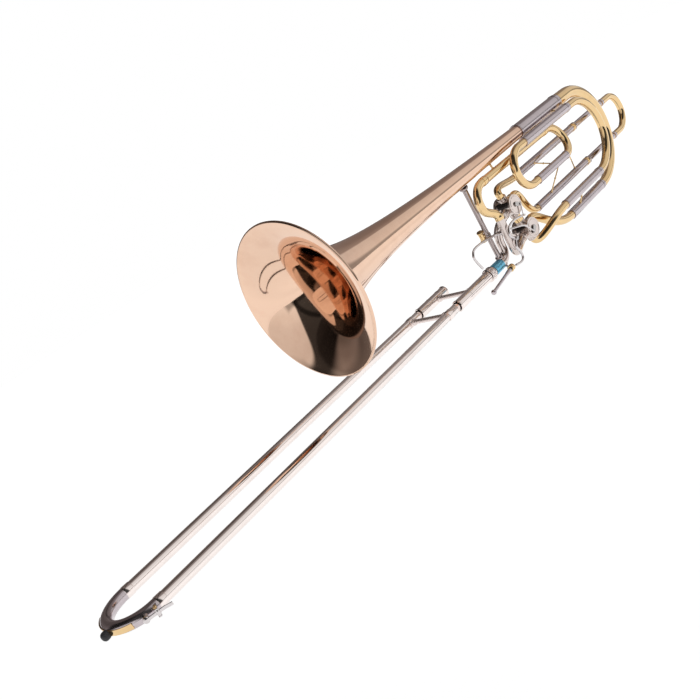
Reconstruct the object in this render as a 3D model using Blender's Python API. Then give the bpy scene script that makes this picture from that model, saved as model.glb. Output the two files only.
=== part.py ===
"""Bass trombone with two rotary valves, as separate pieces at their real size.

The slide lies along X in the plane Z = 0, the bell stands above it, and the player is at +X.
The origin is the centre of the lock nut, on the axis of the slide's bell-side tube.
"""

import math

import bmesh
import bpy
from mathutils import Vector

MM = 0.001
CLEAR = 0.3 * MM  # gap that touching pieces keep
RUNNING = 0.4 * MM  # radial gap between telescoping tubes
X = Vector((1, 0, 0))
Y = Vector((0, 1, 0))
Z = Vector((0, 0, 1))

# Hand slide
SLIDE_SPACING = 90.0 * MM
SLIDE_BORE = 14.3 * MM
INNER_TUBE_OD = 15.0 * MM
OUTER_TUBE_OD = 16.2 * MM
OUTER_TUBE_WALL = 0.35 * MM
BARREL_OD = 20.0 * MM
BARREL_WALL = 1.2 * MM
BARREL_MOUTH_X = -112.0 * MM
BELL_BARREL_END_X = -8.0 * MM
MOUTH_BARREL_END_X = -44.0 * MM
MOUTHPIECE_END_X = -28.0 * MM
MOUTHPIECE_SOCKET_D = 12.7 * MM
OUTER_TUBE_INSERT = 6.0 * MM
CROOK_START_X = -790.0 * MM
INNER_TUBE_STOP = 6.0 * MM
BRACE_TUBE_OD = 8.5 * MM
INNER_BRACE_X = -58.0 * MM
OUTER_BRACE_X = -140.0 * MM
FERRULE_OD = 18.6 * MM
FERRULE_LENGTH = 17.0 * MM

# Joint of slide and bell section
LOCK_NUT_OD = 26.0 * MM
LOCK_NUT_LENGTH = 13.6 * MM
TENON_OD = 14.6 * MM
TENON_BORE_R = 6.6 * MM
TENON_END_X = 40.0 * MM
RECEIVER_OD = 18.6 * MM
RECEIVER_START_X = 1.0 * MM
RECEIVER_END_X = 48.0 * MM
BAND_WALL = 0.6 * MM
BAND_START_X = 11.0 * MM
BAND_END_X = 39.0 * MM

# Bell
BELL_Y = -30.0 * MM
BELL_Z = 180.0 * MM
BELL_RIM_X = -412.0 * MM
BELL_RIM_R = 120.6 * MM
BELL_JOINT_X = -236.0 * MM
BELL_END_X = 222.0 * MM
BELL_FLARE_SHIFT = 23.4 * MM
BELL_FLARE_POWER = 0.67
BELL_WALL = 0.9 * MM
RIM_BEAD_D = 4.4 * MM

# Main tuning slide
MAIN_SLEEVE_START_X = 206.0 * MM
MAIN_SLEEVE_END_X = 362.0 * MM
MAIN_CROOK_X = 410.0 * MM
MAIN_LOWER_Z = -18.0 * MM
MAIN_LOWER_OD = 17.0 * MM
MAIN_LOWER_SLEEVE_START_X = 262.0 * MM
MAIN_LOWER_SLEEVE_END_X = 402.0 * MM
SLEEVE_WALL = 0.7 * MM
TUBE_WALL = 0.8 * MM
SLEEVE_BEAD = 0.8 * MM
MAIN_LOWER_BEND = (26.0 * MM, 70.0 * MM)

# First wrap, on the near side of the main slide
FIRST_Y = -55.0 * MM
FIRST_OD = 15.0 * MM
FIRST_UPPER_Z = 164.0 * MM
FIRST_LOWER_Z = 18.0 * MM
FIRST_CROOK_X = 379.0 * MM
FIRST_SLEEVE_START_X = 177.0 * MM
FIRST_SLEEVE_END_X = 352.0 * MM
FIRST_LOWER_SLEEVE_START_X = 219.0 * MM
FIRST_LOWER_SLEEVE_END_X = 372.0 * MM
COIL_LEG_Z = 92.0 * MM
COIL_LEFT_X = 156.0 * MM
COIL_LEG_START_X = 170.0 * MM
COIL_RIGHT_X = 288.0 * MM
LONG_TUBE_Y = -37.0 * MM
LONG_TUBE_Z = 151.0 * MM
LONG_TUBE_START_X = 40.0 * MM
FRONT_BEND_R = 28.0 * MM
DOWN_TUBE_X = 38.0 * MM
DOWN_TUBE_Y = -42.0 * MM
DOWN_TUBE_TOP_Z = 80.0 * MM
DOWN_TUBE_LOW_Z = 36.0 * MM
FIRST_CURVE_BEND = (26.0 * MM, 52.0 * MM)
DOWN_TUBE_BEND = (34.0 * MM, 30.0 * MM)
COIL_RIGHT_BEND = 41.0 * MM

# Second wrap, on the far side of the main slide
SECOND_Y = -6.0 * MM
SECOND_OD = 13.6 * MM
SECOND_UPPER_Z = 109.0 * MM
SECOND_LOWER_Z = 32.0 * MM
SECOND_CROOK_X = 611.0 * MM
SECOND_CROOK_END_X = 572.0 * MM
SECOND_SLEEVE_START_X = 185.0 * MM
SECOND_LOWER_SLEEVE_START_X = 205.0 * MM
SECOND_SLEEVE_END_X = 440.0 * MM
SECOND_STRAP_BEND = (30.0 * MM, 48.0 * MM)
SECOND_ELBOW_BEND = (36.0 * MM, 42.0 * MM)

# Valves
VALVE_CENTRE = Vector((104.0, -20.0, 80.0)) * MM
VALVE_SPACING = 60.0 * MM
VALVE_PORT_ANGLE = 20.0
CASING_R = 18.0 * MM
CASING_BORE_R = 15.6 * MM
CASING_HALF = 17.0 * MM
STUB_R = 9.0 * MM
STUB_REACH = 24.0 * MM
PORT_BORE_R = 6.4 * MM
ROTOR_R = CASING_BORE_R - RUNNING
ROTOR_HALF = 13.8 * MM
SPINDLE_R = 3.0 * MM
PLATE_THICKNESS = 2.6 * MM
CAP_WALL = 1.5 * MM
STOP_ARM_R = 10.0 * MM
STOP_ARM_THICKNESS = 2.2 * MM

# Levers
LEVER_ROD_R = 1.9 * MM
HUB_R = 3.8 * MM
PIN_R = 2.0 * MM
THUMB_PIVOT = Vector((46.0, -25.5, 54.0)) * MM
THUMB_HUB_HALF = 6.5 * MM
PIN_HEAD_R = 3.2 * MM
PIN_HEAD_LENGTH = 0.8 * MM
HUB_GAP = 0.6 * MM
FINGER_HUB_HALF = 3.6 * MM
FINGER_PIVOT_Z = 40.0 * MM
FINGER_SEAT_Y = DOWN_TUBE_Y - FIRST_OD / 2 - CLEAR
FINGER_PIVOT_Y = FINGER_SEAT_Y - PIN_HEAD_LENGTH - HUB_GAP - FINGER_HUB_HALF
FINGER_PIVOT = Vector((DOWN_TUBE_X, FINGER_PIVOT_Y, FINGER_PIVOT_Z))
LINK_THICKNESS = 1.4 * MM
LINK_Y = VALVE_CENTRE.y - CASING_HALF - 2 * CLEAR - STOP_ARM_THICKNESS - CLEAR - LINK_THICKNESS / 2

# Points that the lever rods pass, the last one of each arm being its link's pin
THUMB_PADDLE = (
    Vector((22.0, -23.0, 59.5)) * MM,
    Vector((-4.0, -23.0, 63.5)) * MM,
    Vector((-34.0, -23.0, 64.5)) * MM,
    Vector((-45.0, -23.0, 57.0)) * MM,
    Vector((-45.0, -23.0, 46.0)) * MM,
    Vector((-38.0, -23.0, 29.0)) * MM,
)
THUMB_ARM = (
    Vector((66.0, -31.0, 50.0)) * MM,
    Vector((84.0, -42.0, 45.0)) * MM,
)
THUMB_LINK_X = 98.0 * MM
THUMB_LINK_Z = 38.0 * MM
FINGER_ARM = (
    Vector((27.5, FINGER_PIVOT_Y / MM, 49.0)) * MM,
    Vector((28.5, FINGER_PIVOT_Y / MM, 58.0)) * MM,
    Vector((38.0, FINGER_PIVOT_Y / MM, 65.0)) * MM,
    Vector((56.0, FINGER_PIVOT_Y / MM, 67.0)) * MM,
    Vector((84.0, -52.0, 62.0)) * MM,
)
FINGER_LINK_X = 106.0 * MM
FINGER_LINK_Z = 56.0 * MM
FINGER_TAIL = (
    Vector((30.0, FINGER_PIVOT_Y / MM, 27.0)) * MM,
    Vector((35.0, FINGER_PIVOT_Y / MM, 12.0)) * MM,
    Vector((33.0, FINGER_PIVOT_Y / MM, 3.0)) * MM,
    Vector((24.0, FINGER_PIVOT_Y / MM, 0.5)) * MM,
    Vector((8.0, FINGER_PIVOT_Y / MM, 3.0)) * MM,
)

# Grip parts
HAND_BRACE_OD = 9.4 * MM
HAND_BRACE_TOP_X = 0.0 * MM
HAND_REST_R = 2.4 * MM

SIDES = 12
VALVE_SIDES = 24
BELL_SIDES = 28
SLIDE_SIDES = ("bell_side", "mouth_side")


def clear_scene():
    for old in list(bpy.data.objects):
        bpy.data.objects.remove(old, do_unlink=True)


def make_material(name, colour, roughness, metallic):
    material = bpy.data.materials.new(name)
    material.use_nodes = True
    shader = material.node_tree.nodes["Principled BSDF"]
    shader.inputs["Base Color"].default_value = (*colour, 1)
    shader.inputs["Roughness"].default_value = roughness
    shader.inputs["Metallic"].default_value = metallic
    material.diffuse_color = (*colour, 1)
    return material


def line(start, end):
    """A path is a list of points, each with its direction."""
    along = (end - start).normalized()
    return [(start, along), (end, along)]


def arc(centre, radius, first, last, steps, side=X, up=Z):
    path = []
    turn = 1 if last > first else -1
    for step in range(steps + 1):
        angle = math.radians(first + (last - first) * step / steps)
        out = side * math.cos(angle) + up * math.sin(angle)
        along = (up * math.cos(angle) - side * math.sin(angle)) * turn
        path.append((centre + out * radius, along))
    return path


def curve(start, start_way, end, end_way, reach, steps=8):
    """A smooth bend that leaves along start_way and arrives along end_way."""
    first, last = reach if isinstance(reach, tuple) else (reach, reach)
    a, d = start, end
    b = a + start_way.normalized() * first
    c = d - end_way.normalized() * last
    path = []
    for step in range(steps + 1):
        t = step / steps
        s = 1 - t
        point = a * s**3 + b * 3 * s * s * t + c * 3 * s * t * t + d * t**3
        along = (b - a) * s * s + (c - b) * 2 * s * t + (d - c) * t * t
        path.append((point, along.normalized()))
    return path


def through(points, steps=4):
    """A smooth path through the points, leaving and arriving straight."""
    ends = [points[0] * 2 - points[1], *points, points[-1] * 2 - points[-2]]
    path = []
    for before, start, end, after in zip(ends, ends[1:], ends[2:], ends[3:]):
        leave = end - before
        arrive = after - start
        piece = curve(start, leave, end, arrive, (leave.length / 6, arrive.length / 6), steps)
        path = join(path, piece)
    return path


def join(*paths):
    joined = []
    for path in paths:
        for point, along in path:
            if not joined or (point - joined[-1][0]).length > 1e-6:
                joined.append((point, along))
    return joined


def trimmed(path, start=CLEAR, end=CLEAR):
    """The path with its ends drawn in, so that the next piece has its gap."""
    first, first_way = path[0]
    last, last_way = path[-1]
    return [(first + first_way * start, first_way), *path[1:-1], (last - last_way * end, last_way)]


def ring_frames(path):
    """Two directions square to the path at each point, with no twist."""
    along = path[0][1]
    side = Z if abs(along.dot(Y)) > 0.7 else Y
    frames = []
    for _, along in path:
        side = (side - along * side.dot(along)).normalized()
        frames.append((side, along.cross(side)))
    return frames


def radii_along(path, size):
    """One radius for each point, from a number, the two ends' radii or a list of them all."""
    if isinstance(size, list):
        return size
    first, last = size if isinstance(size, tuple) else (size, size)
    lengths = [0.0]
    for (here, _), (there, _) in zip(path, path[1:]):
        lengths.append(lengths[-1] + (there - here).length)
    return [first + (last - first) * length / lengths[-1] for length in lengths]


def rings_to_shape(rings, closed):
    """Points and faces of rings joined in turn. A ring of one point is a tip."""
    points = []
    starts = []
    for ring in rings:
        starts.append(len(points))
        points.extend(ring)
    faces = []
    count = len(rings)
    for index in range(count if closed else count - 1):
        after = (index + 1) % count
        here, there = rings[index], rings[after]
        sides = max(len(here), len(there))
        if sides == 1:
            continue
        for turn in range(sides):
            step = (turn + 1) % sides
            corners = [starts[index] + turn % len(here), starts[index] + step % len(here)]
            corners += [starts[after] + step % len(there), starts[after] + turn % len(there)]
            faces.append(list(dict.fromkeys(corners)))
    if not closed:
        faces.append(list(range(len(rings[0])))[::-1])
        faces.append([starts[-1] + turn for turn in range(len(rings[-1]))])
    return points, outward(points, faces)


def outward(points, faces):
    """The same faces, turned so that they look out of the solid."""
    volume = 0
    for face in faces:
        first = points[face[0]]
        for second, third in zip(face[1:], face[2:]):
            volume += first.dot(points[second].cross(points[third]))
    return faces if volume > 0 else [face[::-1] for face in faces]


def ring_at(centre, side, up, radius, sides):
    ring = []
    for turn in range(sides):
        angle = 2 * math.pi * (turn + 0.5) / sides
        ring.append(centre + (side * math.cos(angle) + up * math.sin(angle)) * radius)
    return ring


def tube(path, outer, inner, sides=SIDES):
    """A hollow tube along a path, or a rod where inner is None."""
    frames = ring_frames(path)
    wide = radii_along(path, outer)
    rings = []
    for (point, _), (side, up), radius in zip(path, frames, wide):
        rings.append(ring_at(point, side, up, radius, sides))
    if inner is None:
        return rings_to_shape(rings, closed=False)
    narrow = radii_along(path, inner)
    for (point, _), (side, up), radius in reversed(list(zip(path, frames, narrow))):
        rings.append(ring_at(point, side, up, radius, sides))
    return rings_to_shape(rings, closed=True)


def rod(start, end, radius, sides=10):
    return tube(line(start, end), radius, None, sides)


def turned(outline, origin, axis=X, sides=SIDES):
    """A turned solid. Its outline gives distance along the axis and radius."""
    side, up = ring_frames([(origin, axis)])[0]
    rings = []
    for along, radius in outline:
        centre = origin + axis * along
        rings.append([centre] if radius == 0 else ring_at(centre, side, up, radius, sides))
    return rings_to_shape(rings, closed=True)


def sleeve_outline(start, end, outer, inner, bead, bead_length):
    """A straight sleeve with a raised bead at each end."""
    wide = outer + bead
    return [
        (start, inner),
        (start, wide),
        (start + bead_length, wide),
        (start + bead_length, outer),
        (end - bead_length, outer),
        (end - bead_length, wide),
        (end, wide),
        (end, inner),
    ]


def strip(path, width, thickness, across):
    """A flat strip along a path, with its width along the across direction."""
    rings = []
    for point, along in path:
        out = along.cross(across).normalized()
        corners = ((-1, -1), (1, -1), (1, 1), (-1, 1))
        rings.append(
            [point + across * width / 2 * a + out * thickness / 2 * b for a, b in corners]
        )
    return rings_to_shape(rings, closed=False)


def add(name, material, *shapes, pivot=None):
    """One object from closed shapes. Its origin is its pivot."""
    mesh = bpy.data.meshes.new(name)
    build = bmesh.new()
    origin = pivot.location if pivot else Vector((0, 0, 0))
    for points, faces in shapes:
        corners = [build.verts.new(point - origin) for point in points]
        for face in faces:
            build.faces.new([corners[index] for index in face])
    build.to_mesh(mesh)
    build.free()
    mesh.shade_smooth()
    mesh.set_sharp_from_angle(angle=math.radians(35))
    piece = bpy.data.objects.new(name, mesh)
    bpy.context.scene.collection.objects.link(piece)
    if material:
        mesh.materials.append(material)
    if pivot:
        piece.parent = pivot
    return piece


def add_pivot(name, location):
    pivot = bpy.data.objects.new(name, None)
    pivot.location = location
    bpy.context.scene.collection.objects.link(pivot)
    return pivot


def boolean(piece, operation, name, *shapes, pivot=None):
    """Joins the shapes to the piece, or cuts them from it."""
    helper = add(name, None, *shapes, pivot=pivot)
    helper.hide_render = True
    helper.display_type = "WIRE"
    modifier = piece.modifiers.new(name, "BOOLEAN")
    modifier.operation = operation
    modifier.solver = "EXACT"
    modifier.object = helper


def at(x, y, z):
    return Vector((x, y, z)) * MM


def in_slide(x, across, height=0.0):
    return Vector((x, across, height))


def bell_radius(x):
    depth = x - BELL_RIM_X
    return BELL_RIM_R * (BELL_FLARE_SHIFT / (BELL_FLARE_SHIFT + depth)) ** BELL_FLARE_POWER


def port(centre, quarter):
    """Where a tube meets a valve, and the direction out of the valve."""
    angle = math.radians(VALVE_PORT_ANGLE + 90 * quarter)
    out = X * math.cos(angle) + Z * math.sin(angle)
    return centre + out * STUB_REACH, out


def lower_valve_centre():
    _, down = port(VALVE_CENTRE, 3)
    return VALVE_CENTRE + down * VALVE_SPACING


clear_scene()

rose_brass = make_material("rose_brass", (0.76, 0.47, 0.33), 0.16, 1.0)
yellow_brass = make_material("yellow_brass", (0.87, 0.66, 0.33), 0.15, 1.0)
nickel = make_material("nickel_silver", (0.64, 0.58, 0.58), 0.24, 1.0)
chrome = make_material("chrome", (0.78, 0.72, 0.68), 0.12, 1.0)
steel = make_material("steel", (0.60, 0.60, 0.60), 0.30, 1.0)
blue_film = make_material("blue_film", (0.10, 0.42, 0.62), 0.35, 0.3)
rubber = make_material("rubber", (0.02, 0.02, 0.022), 0.60, 0.0)
cork = make_material("cork", (0.42, 0.27, 0.14), 0.85, 0.0)

hand_slide = add_pivot("hand_slide_pivot", in_slide(CROOK_START_X, 0))
main_slide = add_pivot("main_slide_pivot", Vector((MAIN_CROOK_X, BELL_Y, BELL_Z)))
first_slide = add_pivot("first_slide_pivot", Vector((FIRST_CROOK_X, FIRST_Y, FIRST_UPPER_Z)))
second_slide = add_pivot("second_slide_pivot", Vector((SECOND_CROOK_X, SECOND_Y, SECOND_UPPER_Z)))
lock_nut_pivot = add_pivot("lock_nut_pivot", Vector((0, 0, 0)))
upper_valve = add_pivot("upper_valve_pivot", VALVE_CENTRE)
lower_valve = add_pivot("lower_valve_pivot", lower_valve_centre())
thumb_pivot = add_pivot("thumb_lever_pivot", THUMB_PIVOT)
finger_pivot = add_pivot("finger_lever_pivot", FINGER_PIVOT)


def bell_wall(first, last, steps, power):
    """Outer and inner points of the bell's wall, which lie a wall apart along its normal."""
    outer, inner = [], []
    for step in range(steps + 1):
        x = first + (last - first) * (step / steps) ** power
        radius = bell_radius(x)
        slope = BELL_FLARE_POWER * radius / (BELL_FLARE_SHIFT + x - BELL_RIM_X)
        thick = BELL_WALL / math.sqrt(1 + slope * slope)
        outer.append((x, radius))
        inner.append((x - slope * thick, radius - thick))
    return outer, inner


def make_bell():
    """The flare with its rolled rim, and the stem that runs back to the tuning slide."""
    axis = Vector((0, BELL_Y, BELL_Z))
    outer, inner = bell_wall(BELL_RIM_X, BELL_JOINT_X, 10, 2.0)
    bead = RIM_BEAD_D / 2
    roll = []
    for angle in range(-90, 151, 48):
        way = math.radians(angle)
        x = BELL_RIM_X + bead * (0.6 + math.cos(way))
        roll.append((x, BELL_RIM_R + bead * (math.sin(way) - 0.2)))
    outline = outer[:0:-1] + roll + inner
    add("bell", rose_brass, turned(outline, axis, X, BELL_SIDES))
    outer, inner = bell_wall(BELL_JOINT_X + CLEAR, BELL_END_X, 6, 1.4)
    add("bell_stem", rose_brass, turned(outer[::-1] + inner, axis, X, BELL_SIDES))


def make_main_slide():
    leg_r = bell_radius(MAIN_SLEEVE_START_X)
    bore = leg_r + RUNNING
    upper = Vector((0, BELL_Y, BELL_Z))
    lower = Vector((0, BELL_Y, MAIN_LOWER_Z))
    outline = sleeve_outline(
        MAIN_SLEEVE_START_X, MAIN_SLEEVE_END_X, bore + SLEEVE_WALL, bore, SLEEVE_BEAD, 3 * MM
    )
    add("upper_tuning_sleeve", nickel, turned(outline, upper, X, 16))
    low_leg_r = MAIN_LOWER_OD / 2
    low_bore = low_leg_r + RUNNING
    low_outer = low_bore + SLEEVE_WALL
    start, end = MAIN_LOWER_SLEEVE_START_X, MAIN_LOWER_SLEEVE_END_X
    outline = sleeve_outline(start, end, low_outer, low_bore, SLEEVE_BEAD, 3 * MM)
    add("lower_tuning_sleeve", nickel, turned(outline, lower, X))
    seat = CLEAR + BELL_END_X
    legs = ((upper, leg_r, seat, MAIN_SLEEVE_END_X), (lower, low_leg_r, start + 8 * MM, end))
    tuning_slide("main_tuning_slide", MAIN_CROOK_X, *legs, main_slide)


def tuning_slide(name, crook_x, upper, lower, pivot, steps=9):
    """A U bend with its two inner legs. Each leg is its axis, radius, start and shoulder."""
    axis, radius, start, shoulder = upper
    low_axis, low_radius, low_start, low_shoulder = lower
    bend_r = (axis.z - low_axis.z) / 2
    centre = Vector((crook_x, axis.y, (axis.z + low_axis.z) / 2))
    step = 0.5 * MM
    shoulder += CLEAR
    low_shoulder += CLEAR
    bend = arc(centre, bend_r, 90, -90, steps)
    path = [(axis + X * along, X) for along in (start, shoulder, shoulder + step)]
    path += bend
    path += [(low_axis + X * along, -X) for along in (low_shoulder + step, low_shoulder, low_start)]
    rise = RUNNING + SLEEVE_WALL * 0.6
    first, last = radius + rise, low_radius + rise
    wide = [radius, radius, first]
    wide += [first + (last - first) * index / steps for index in range(steps + 1)]
    wide += [last, low_radius, low_radius]
    first, last = radius - TUBE_WALL, low_radius - TUBE_WALL
    narrow = [first] * 3
    narrow += [first + (last - first) * index / steps for index in range(steps + 1)]
    narrow += [last] * 3
    add(name, yellow_brass, tube(path, wide, narrow), pivot=pivot)


def make_lower_main_tube():
    start, out = port(lower_valve_centre(), 0)
    end = Vector((MAIN_LOWER_SLEEVE_START_X, BELL_Y, MAIN_LOWER_Z))
    path = curve(start, out, end, X, MAIN_LOWER_BEND, 7)
    outer = (STUB_R - 0.8 * MM, MAIN_LOWER_OD / 2)
    inner = (PORT_BORE_R + 0.3 * MM, MAIN_LOWER_OD / 2 - TUBE_WALL)
    add("main_lower_tube", yellow_brass, tube(trimmed(path), outer, inner))


def straight_sleeve(start, end, y, z, leg_r):
    bore = leg_r + RUNNING
    outline = sleeve_outline(start, end, bore + SLEEVE_WALL, bore, 0.7 * MM, 2.6 * MM)
    return turned(outline, Vector((0, y, z)))


def make_first_wrap():
    leg_r = FIRST_OD / 2 - 0.4 * MM
    bend_r, bend_bore = FIRST_OD / 2, FIRST_OD / 2 - TUBE_WALL
    y = FIRST_Y
    upper = (FIRST_SLEEVE_START_X, FIRST_SLEEVE_END_X)
    lower = (FIRST_LOWER_SLEEVE_START_X, FIRST_LOWER_SLEEVE_END_X)
    add("first_wrap_upper_sleeve", nickel, straight_sleeve(*upper, y, FIRST_UPPER_Z, leg_r))
    add("first_wrap_lower_sleeve", nickel, straight_sleeve(*lower, y, FIRST_LOWER_Z, leg_r))
    high = Vector((0, y, FIRST_UPPER_Z))
    low = Vector((0, y, FIRST_LOWER_Z))
    legs = [(high, leg_r, upper[0] + 14 * MM, upper[1]), (low, leg_r, lower[0] + 14 * MM, lower[1])]
    tuning_slide("first_wrap_slide", FIRST_CROOK_X, *legs, first_slide, 8)
    start, out = port(lower_valve_centre(), 3)
    end = Vector((lower[0], y, FIRST_LOWER_Z))
    path = curve(start, out, end, X, FIRST_CURVE_BEND, 7)
    add("first_wrap_curve", yellow_brass, tube(trimmed(path), bend_r, bend_bore))
    radius = (FIRST_UPPER_Z - COIL_LEG_Z) / 2
    centre = Vector((COIL_LEFT_X, y, FIRST_UPPER_Z - radius))
    path = join(
        [(Vector((upper[0], y, FIRST_UPPER_Z)), -X)],
        arc(centre, radius, 90, 270, 8),
        [(Vector((COIL_LEG_START_X, y, COIL_LEG_Z)), X)],
    )
    add("coil_left_bend", yellow_brass, tube(trimmed(path), bend_r, bend_bore))
    leg_start = Vector((COIL_LEG_START_X, y, COIL_LEG_Z))
    leg_end = Vector((COIL_RIGHT_X, y, COIL_LEG_Z))
    outline = sleeve_outline(
        leg_start.x, leg_end.x, bend_r + 0.6 * MM, bend_bore, 0.6 * MM, 2.6 * MM
    )
    add("coil_leg", nickel, turned(outline, Vector((0, y, COIL_LEG_Z))))
    long_end = Vector((COIL_RIGHT_X, LONG_TUBE_Y, LONG_TUBE_Z))
    long_start = Vector((LONG_TUBE_START_X, LONG_TUBE_Y, LONG_TUBE_Z))
    path = join(curve(leg_end, X, long_end, -X, COIL_RIGHT_BEND, 8), line(long_end, long_start))
    centre = long_start - Z * FRONT_BEND_R
    top = Vector((DOWN_TUBE_X, DOWN_TUBE_Y, DOWN_TUBE_TOP_Z))
    path = join(path, arc(centre, FRONT_BEND_R, 90, 180, 4))
    path = join(path, curve(path[-1][0] - Z * 4 * MM, -Z, top, -Z, 22 * MM, 4))
    add("coil_long_tube", yellow_brass, tube(trimmed(path), bend_r, bend_bore))
    low = Vector((DOWN_TUBE_X, DOWN_TUBE_Y, DOWN_TUBE_LOW_Z))
    end, out = port(lower_valve_centre(), 2)
    path = join(line(top, low), curve(low, -Z, end, -out, DOWN_TUBE_BEND, 6))
    add("first_wrap_down_tube", nickel, tube(trimmed(path), bend_r, bend_bore))


def make_second_wrap():
    leg_r = SECOND_OD / 2 - 0.4 * MM
    bend_r, bend_bore = SECOND_OD / 2, SECOND_OD / 2 - TUBE_WALL
    y = SECOND_Y
    upper = (SECOND_SLEEVE_START_X, SECOND_SLEEVE_END_X)
    lower = (SECOND_LOWER_SLEEVE_START_X, SECOND_SLEEVE_END_X)
    add("second_wrap_upper_sleeve", nickel, straight_sleeve(*upper, y, SECOND_UPPER_Z, leg_r))
    add("second_wrap_lower_sleeve", nickel, straight_sleeve(*lower, y, SECOND_LOWER_Z, leg_r))
    legs = []
    for start, z in ((upper[0], SECOND_UPPER_Z), (lower[0], SECOND_LOWER_Z)):
        legs.append((Vector((0, y, z)), leg_r, start + 12 * MM, SECOND_CROOK_END_X))
    tuning_slide("second_wrap_slide", SECOND_CROOK_X, *legs, second_slide, 8)
    start, out = port(VALVE_CENTRE, 1)
    end = Vector((upper[0], y, SECOND_UPPER_Z))
    path = curve(start, out, end, X, SECOND_STRAP_BEND, 6)
    add("second_wrap_strap", yellow_brass, tube(trimmed(path), bend_r, bend_bore))
    start, out = port(VALVE_CENTRE, 0)
    end = Vector((lower[0], y, SECOND_LOWER_Z))
    path = curve(start, out, end, X, SECOND_ELBOW_BEND, 6)
    add("second_wrap_elbow", yellow_brass, tube(trimmed(path), bend_r, bend_bore))


def make_valve(name, centre, pivot, turn, arm_angle):
    """A casing with four ports, its rotor with two passages and a stop arm."""
    half = CASING_HALF
    shell = [(-half, 0), (-half, CASING_R), (half, CASING_R), (half, 0)]
    shape = turned(shell, centre, Y, VALVE_SIDES)
    casing = add(name + "_valve_casing", nickel, shape, pivot=pivot)
    stubs, bores = [], []
    for quarter in range(4):
        end, out = port(centre, quarter)
        stubs.append(rod(centre + out * (CASING_BORE_R - 3 * MM), end, STUB_R, 10))
        bores.append(rod(centre + out * 10 * MM, end + out * 4 * MM, PORT_BORE_R, 10))
    boolean(casing, "UNION", name + "_stubs", *stubs, pivot=pivot)
    reach = half + 5 * MM
    plate_at = ROTOR_HALF + CLEAR
    hole = SPINDLE_R + CLEAR
    hollow = [
        (-reach, 0),
        (-reach, hole),
        (-plate_at, hole),
        (-plate_at, CASING_BORE_R),
        (reach, CASING_BORE_R),
        (reach, 0),
    ]
    space = turned(hollow, centre, Y, VALVE_SIDES)
    boolean(casing, "DIFFERENCE", name + "_rotor_space", space, pivot=pivot)
    boolean(casing, "DIFFERENCE", name + "_port_bores", *bores, pivot=pivot)
    front = half + 2 * CLEAR + STOP_ARM_THICKNESS
    body = [
        (-front, 0),
        (-front, SPINDLE_R),
        (-ROTOR_HALF, SPINDLE_R),
        (-ROTOR_HALF, ROTOR_R),
        (ROTOR_HALF, ROTOR_R),
        (ROTOR_HALF, SPINDLE_R),
        (plate_at + PLATE_THICKNESS - CLEAR, SPINDLE_R),
        (plate_at + PLATE_THICKNESS - CLEAR, 0),
    ]
    arm_y = centre - Y * (front - STOP_ARM_THICKNESS / 2)
    angle = math.radians(arm_angle)
    out = X * math.cos(angle) + Z * math.sin(angle)
    arm_path = line(arm_y - out * 4.5 * MM, arm_y + out * (STOP_ARM_R + 3 * MM))
    arm = strip(arm_path, 7 * MM, STOP_ARM_THICKNESS, out.cross(Y))
    rotor = add(name + "_rotor", steel, turned(body, centre, Y, VALVE_SIDES), pivot=pivot)
    boolean(rotor, "UNION", name + "_stop_arm", arm, pivot=pivot)
    passages = []
    for quarter in turn:
        middle = math.radians(VALVE_PORT_ANGLE + 90 * quarter + 45)
        corner = centre + (X * math.cos(middle) + Z * math.sin(middle)) * CASING_R * math.sqrt(2)
        first = VALVE_PORT_ANGLE + 90 * quarter + 180
        path = arc(corner, CASING_R, first, first + 90, 5)
        passages.append(tube(path, PORT_BORE_R, None, 10))
    boolean(rotor, "DIFFERENCE", name + "_passages", *passages, pivot=pivot)
    plate_r = CASING_BORE_R - CLEAR
    high = plate_at + PLATE_THICKNESS
    ring = [(plate_at, hole), (plate_at, plate_r), (high, plate_r), (high, hole)]
    add(name + "_bearing_plate", steel, turned(ring, centre, Y, VALVE_SIDES))
    inside = CASING_R + CLEAR
    outside = inside + CAP_WALL
    base = half + CLEAR
    cap = [
        (base, 0),
        (base, inside),
        (base - 6 * MM, inside),
        (base - 6 * MM, outside),
        (base + 1.2 * MM, outside),
        (base + 2.6 * MM, CASING_R - 4 * MM),
        (base + 2.6 * MM, 0),
    ]
    add(name + "_valve_cap", nickel, turned(cap, centre, Y, VALVE_SIDES))


def make_valves():
    """At rest each rotor joins the ports of the main path, and its wrap's two ports."""
    low = lower_valve_centre()
    make_valve("upper", VALVE_CENTRE, upper_valve, (0, 2), -25)
    make_valve("lower", low, lower_valve, (0, 2), 220)
    start, out = port(VALVE_CENTRE, 3)
    end, _ = port(low, 1)
    path = trimmed(line(start, end))
    add("valve_link_tube", yellow_brass, tube(path, STUB_R - 0.6 * MM, PORT_BORE_R))


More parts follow.
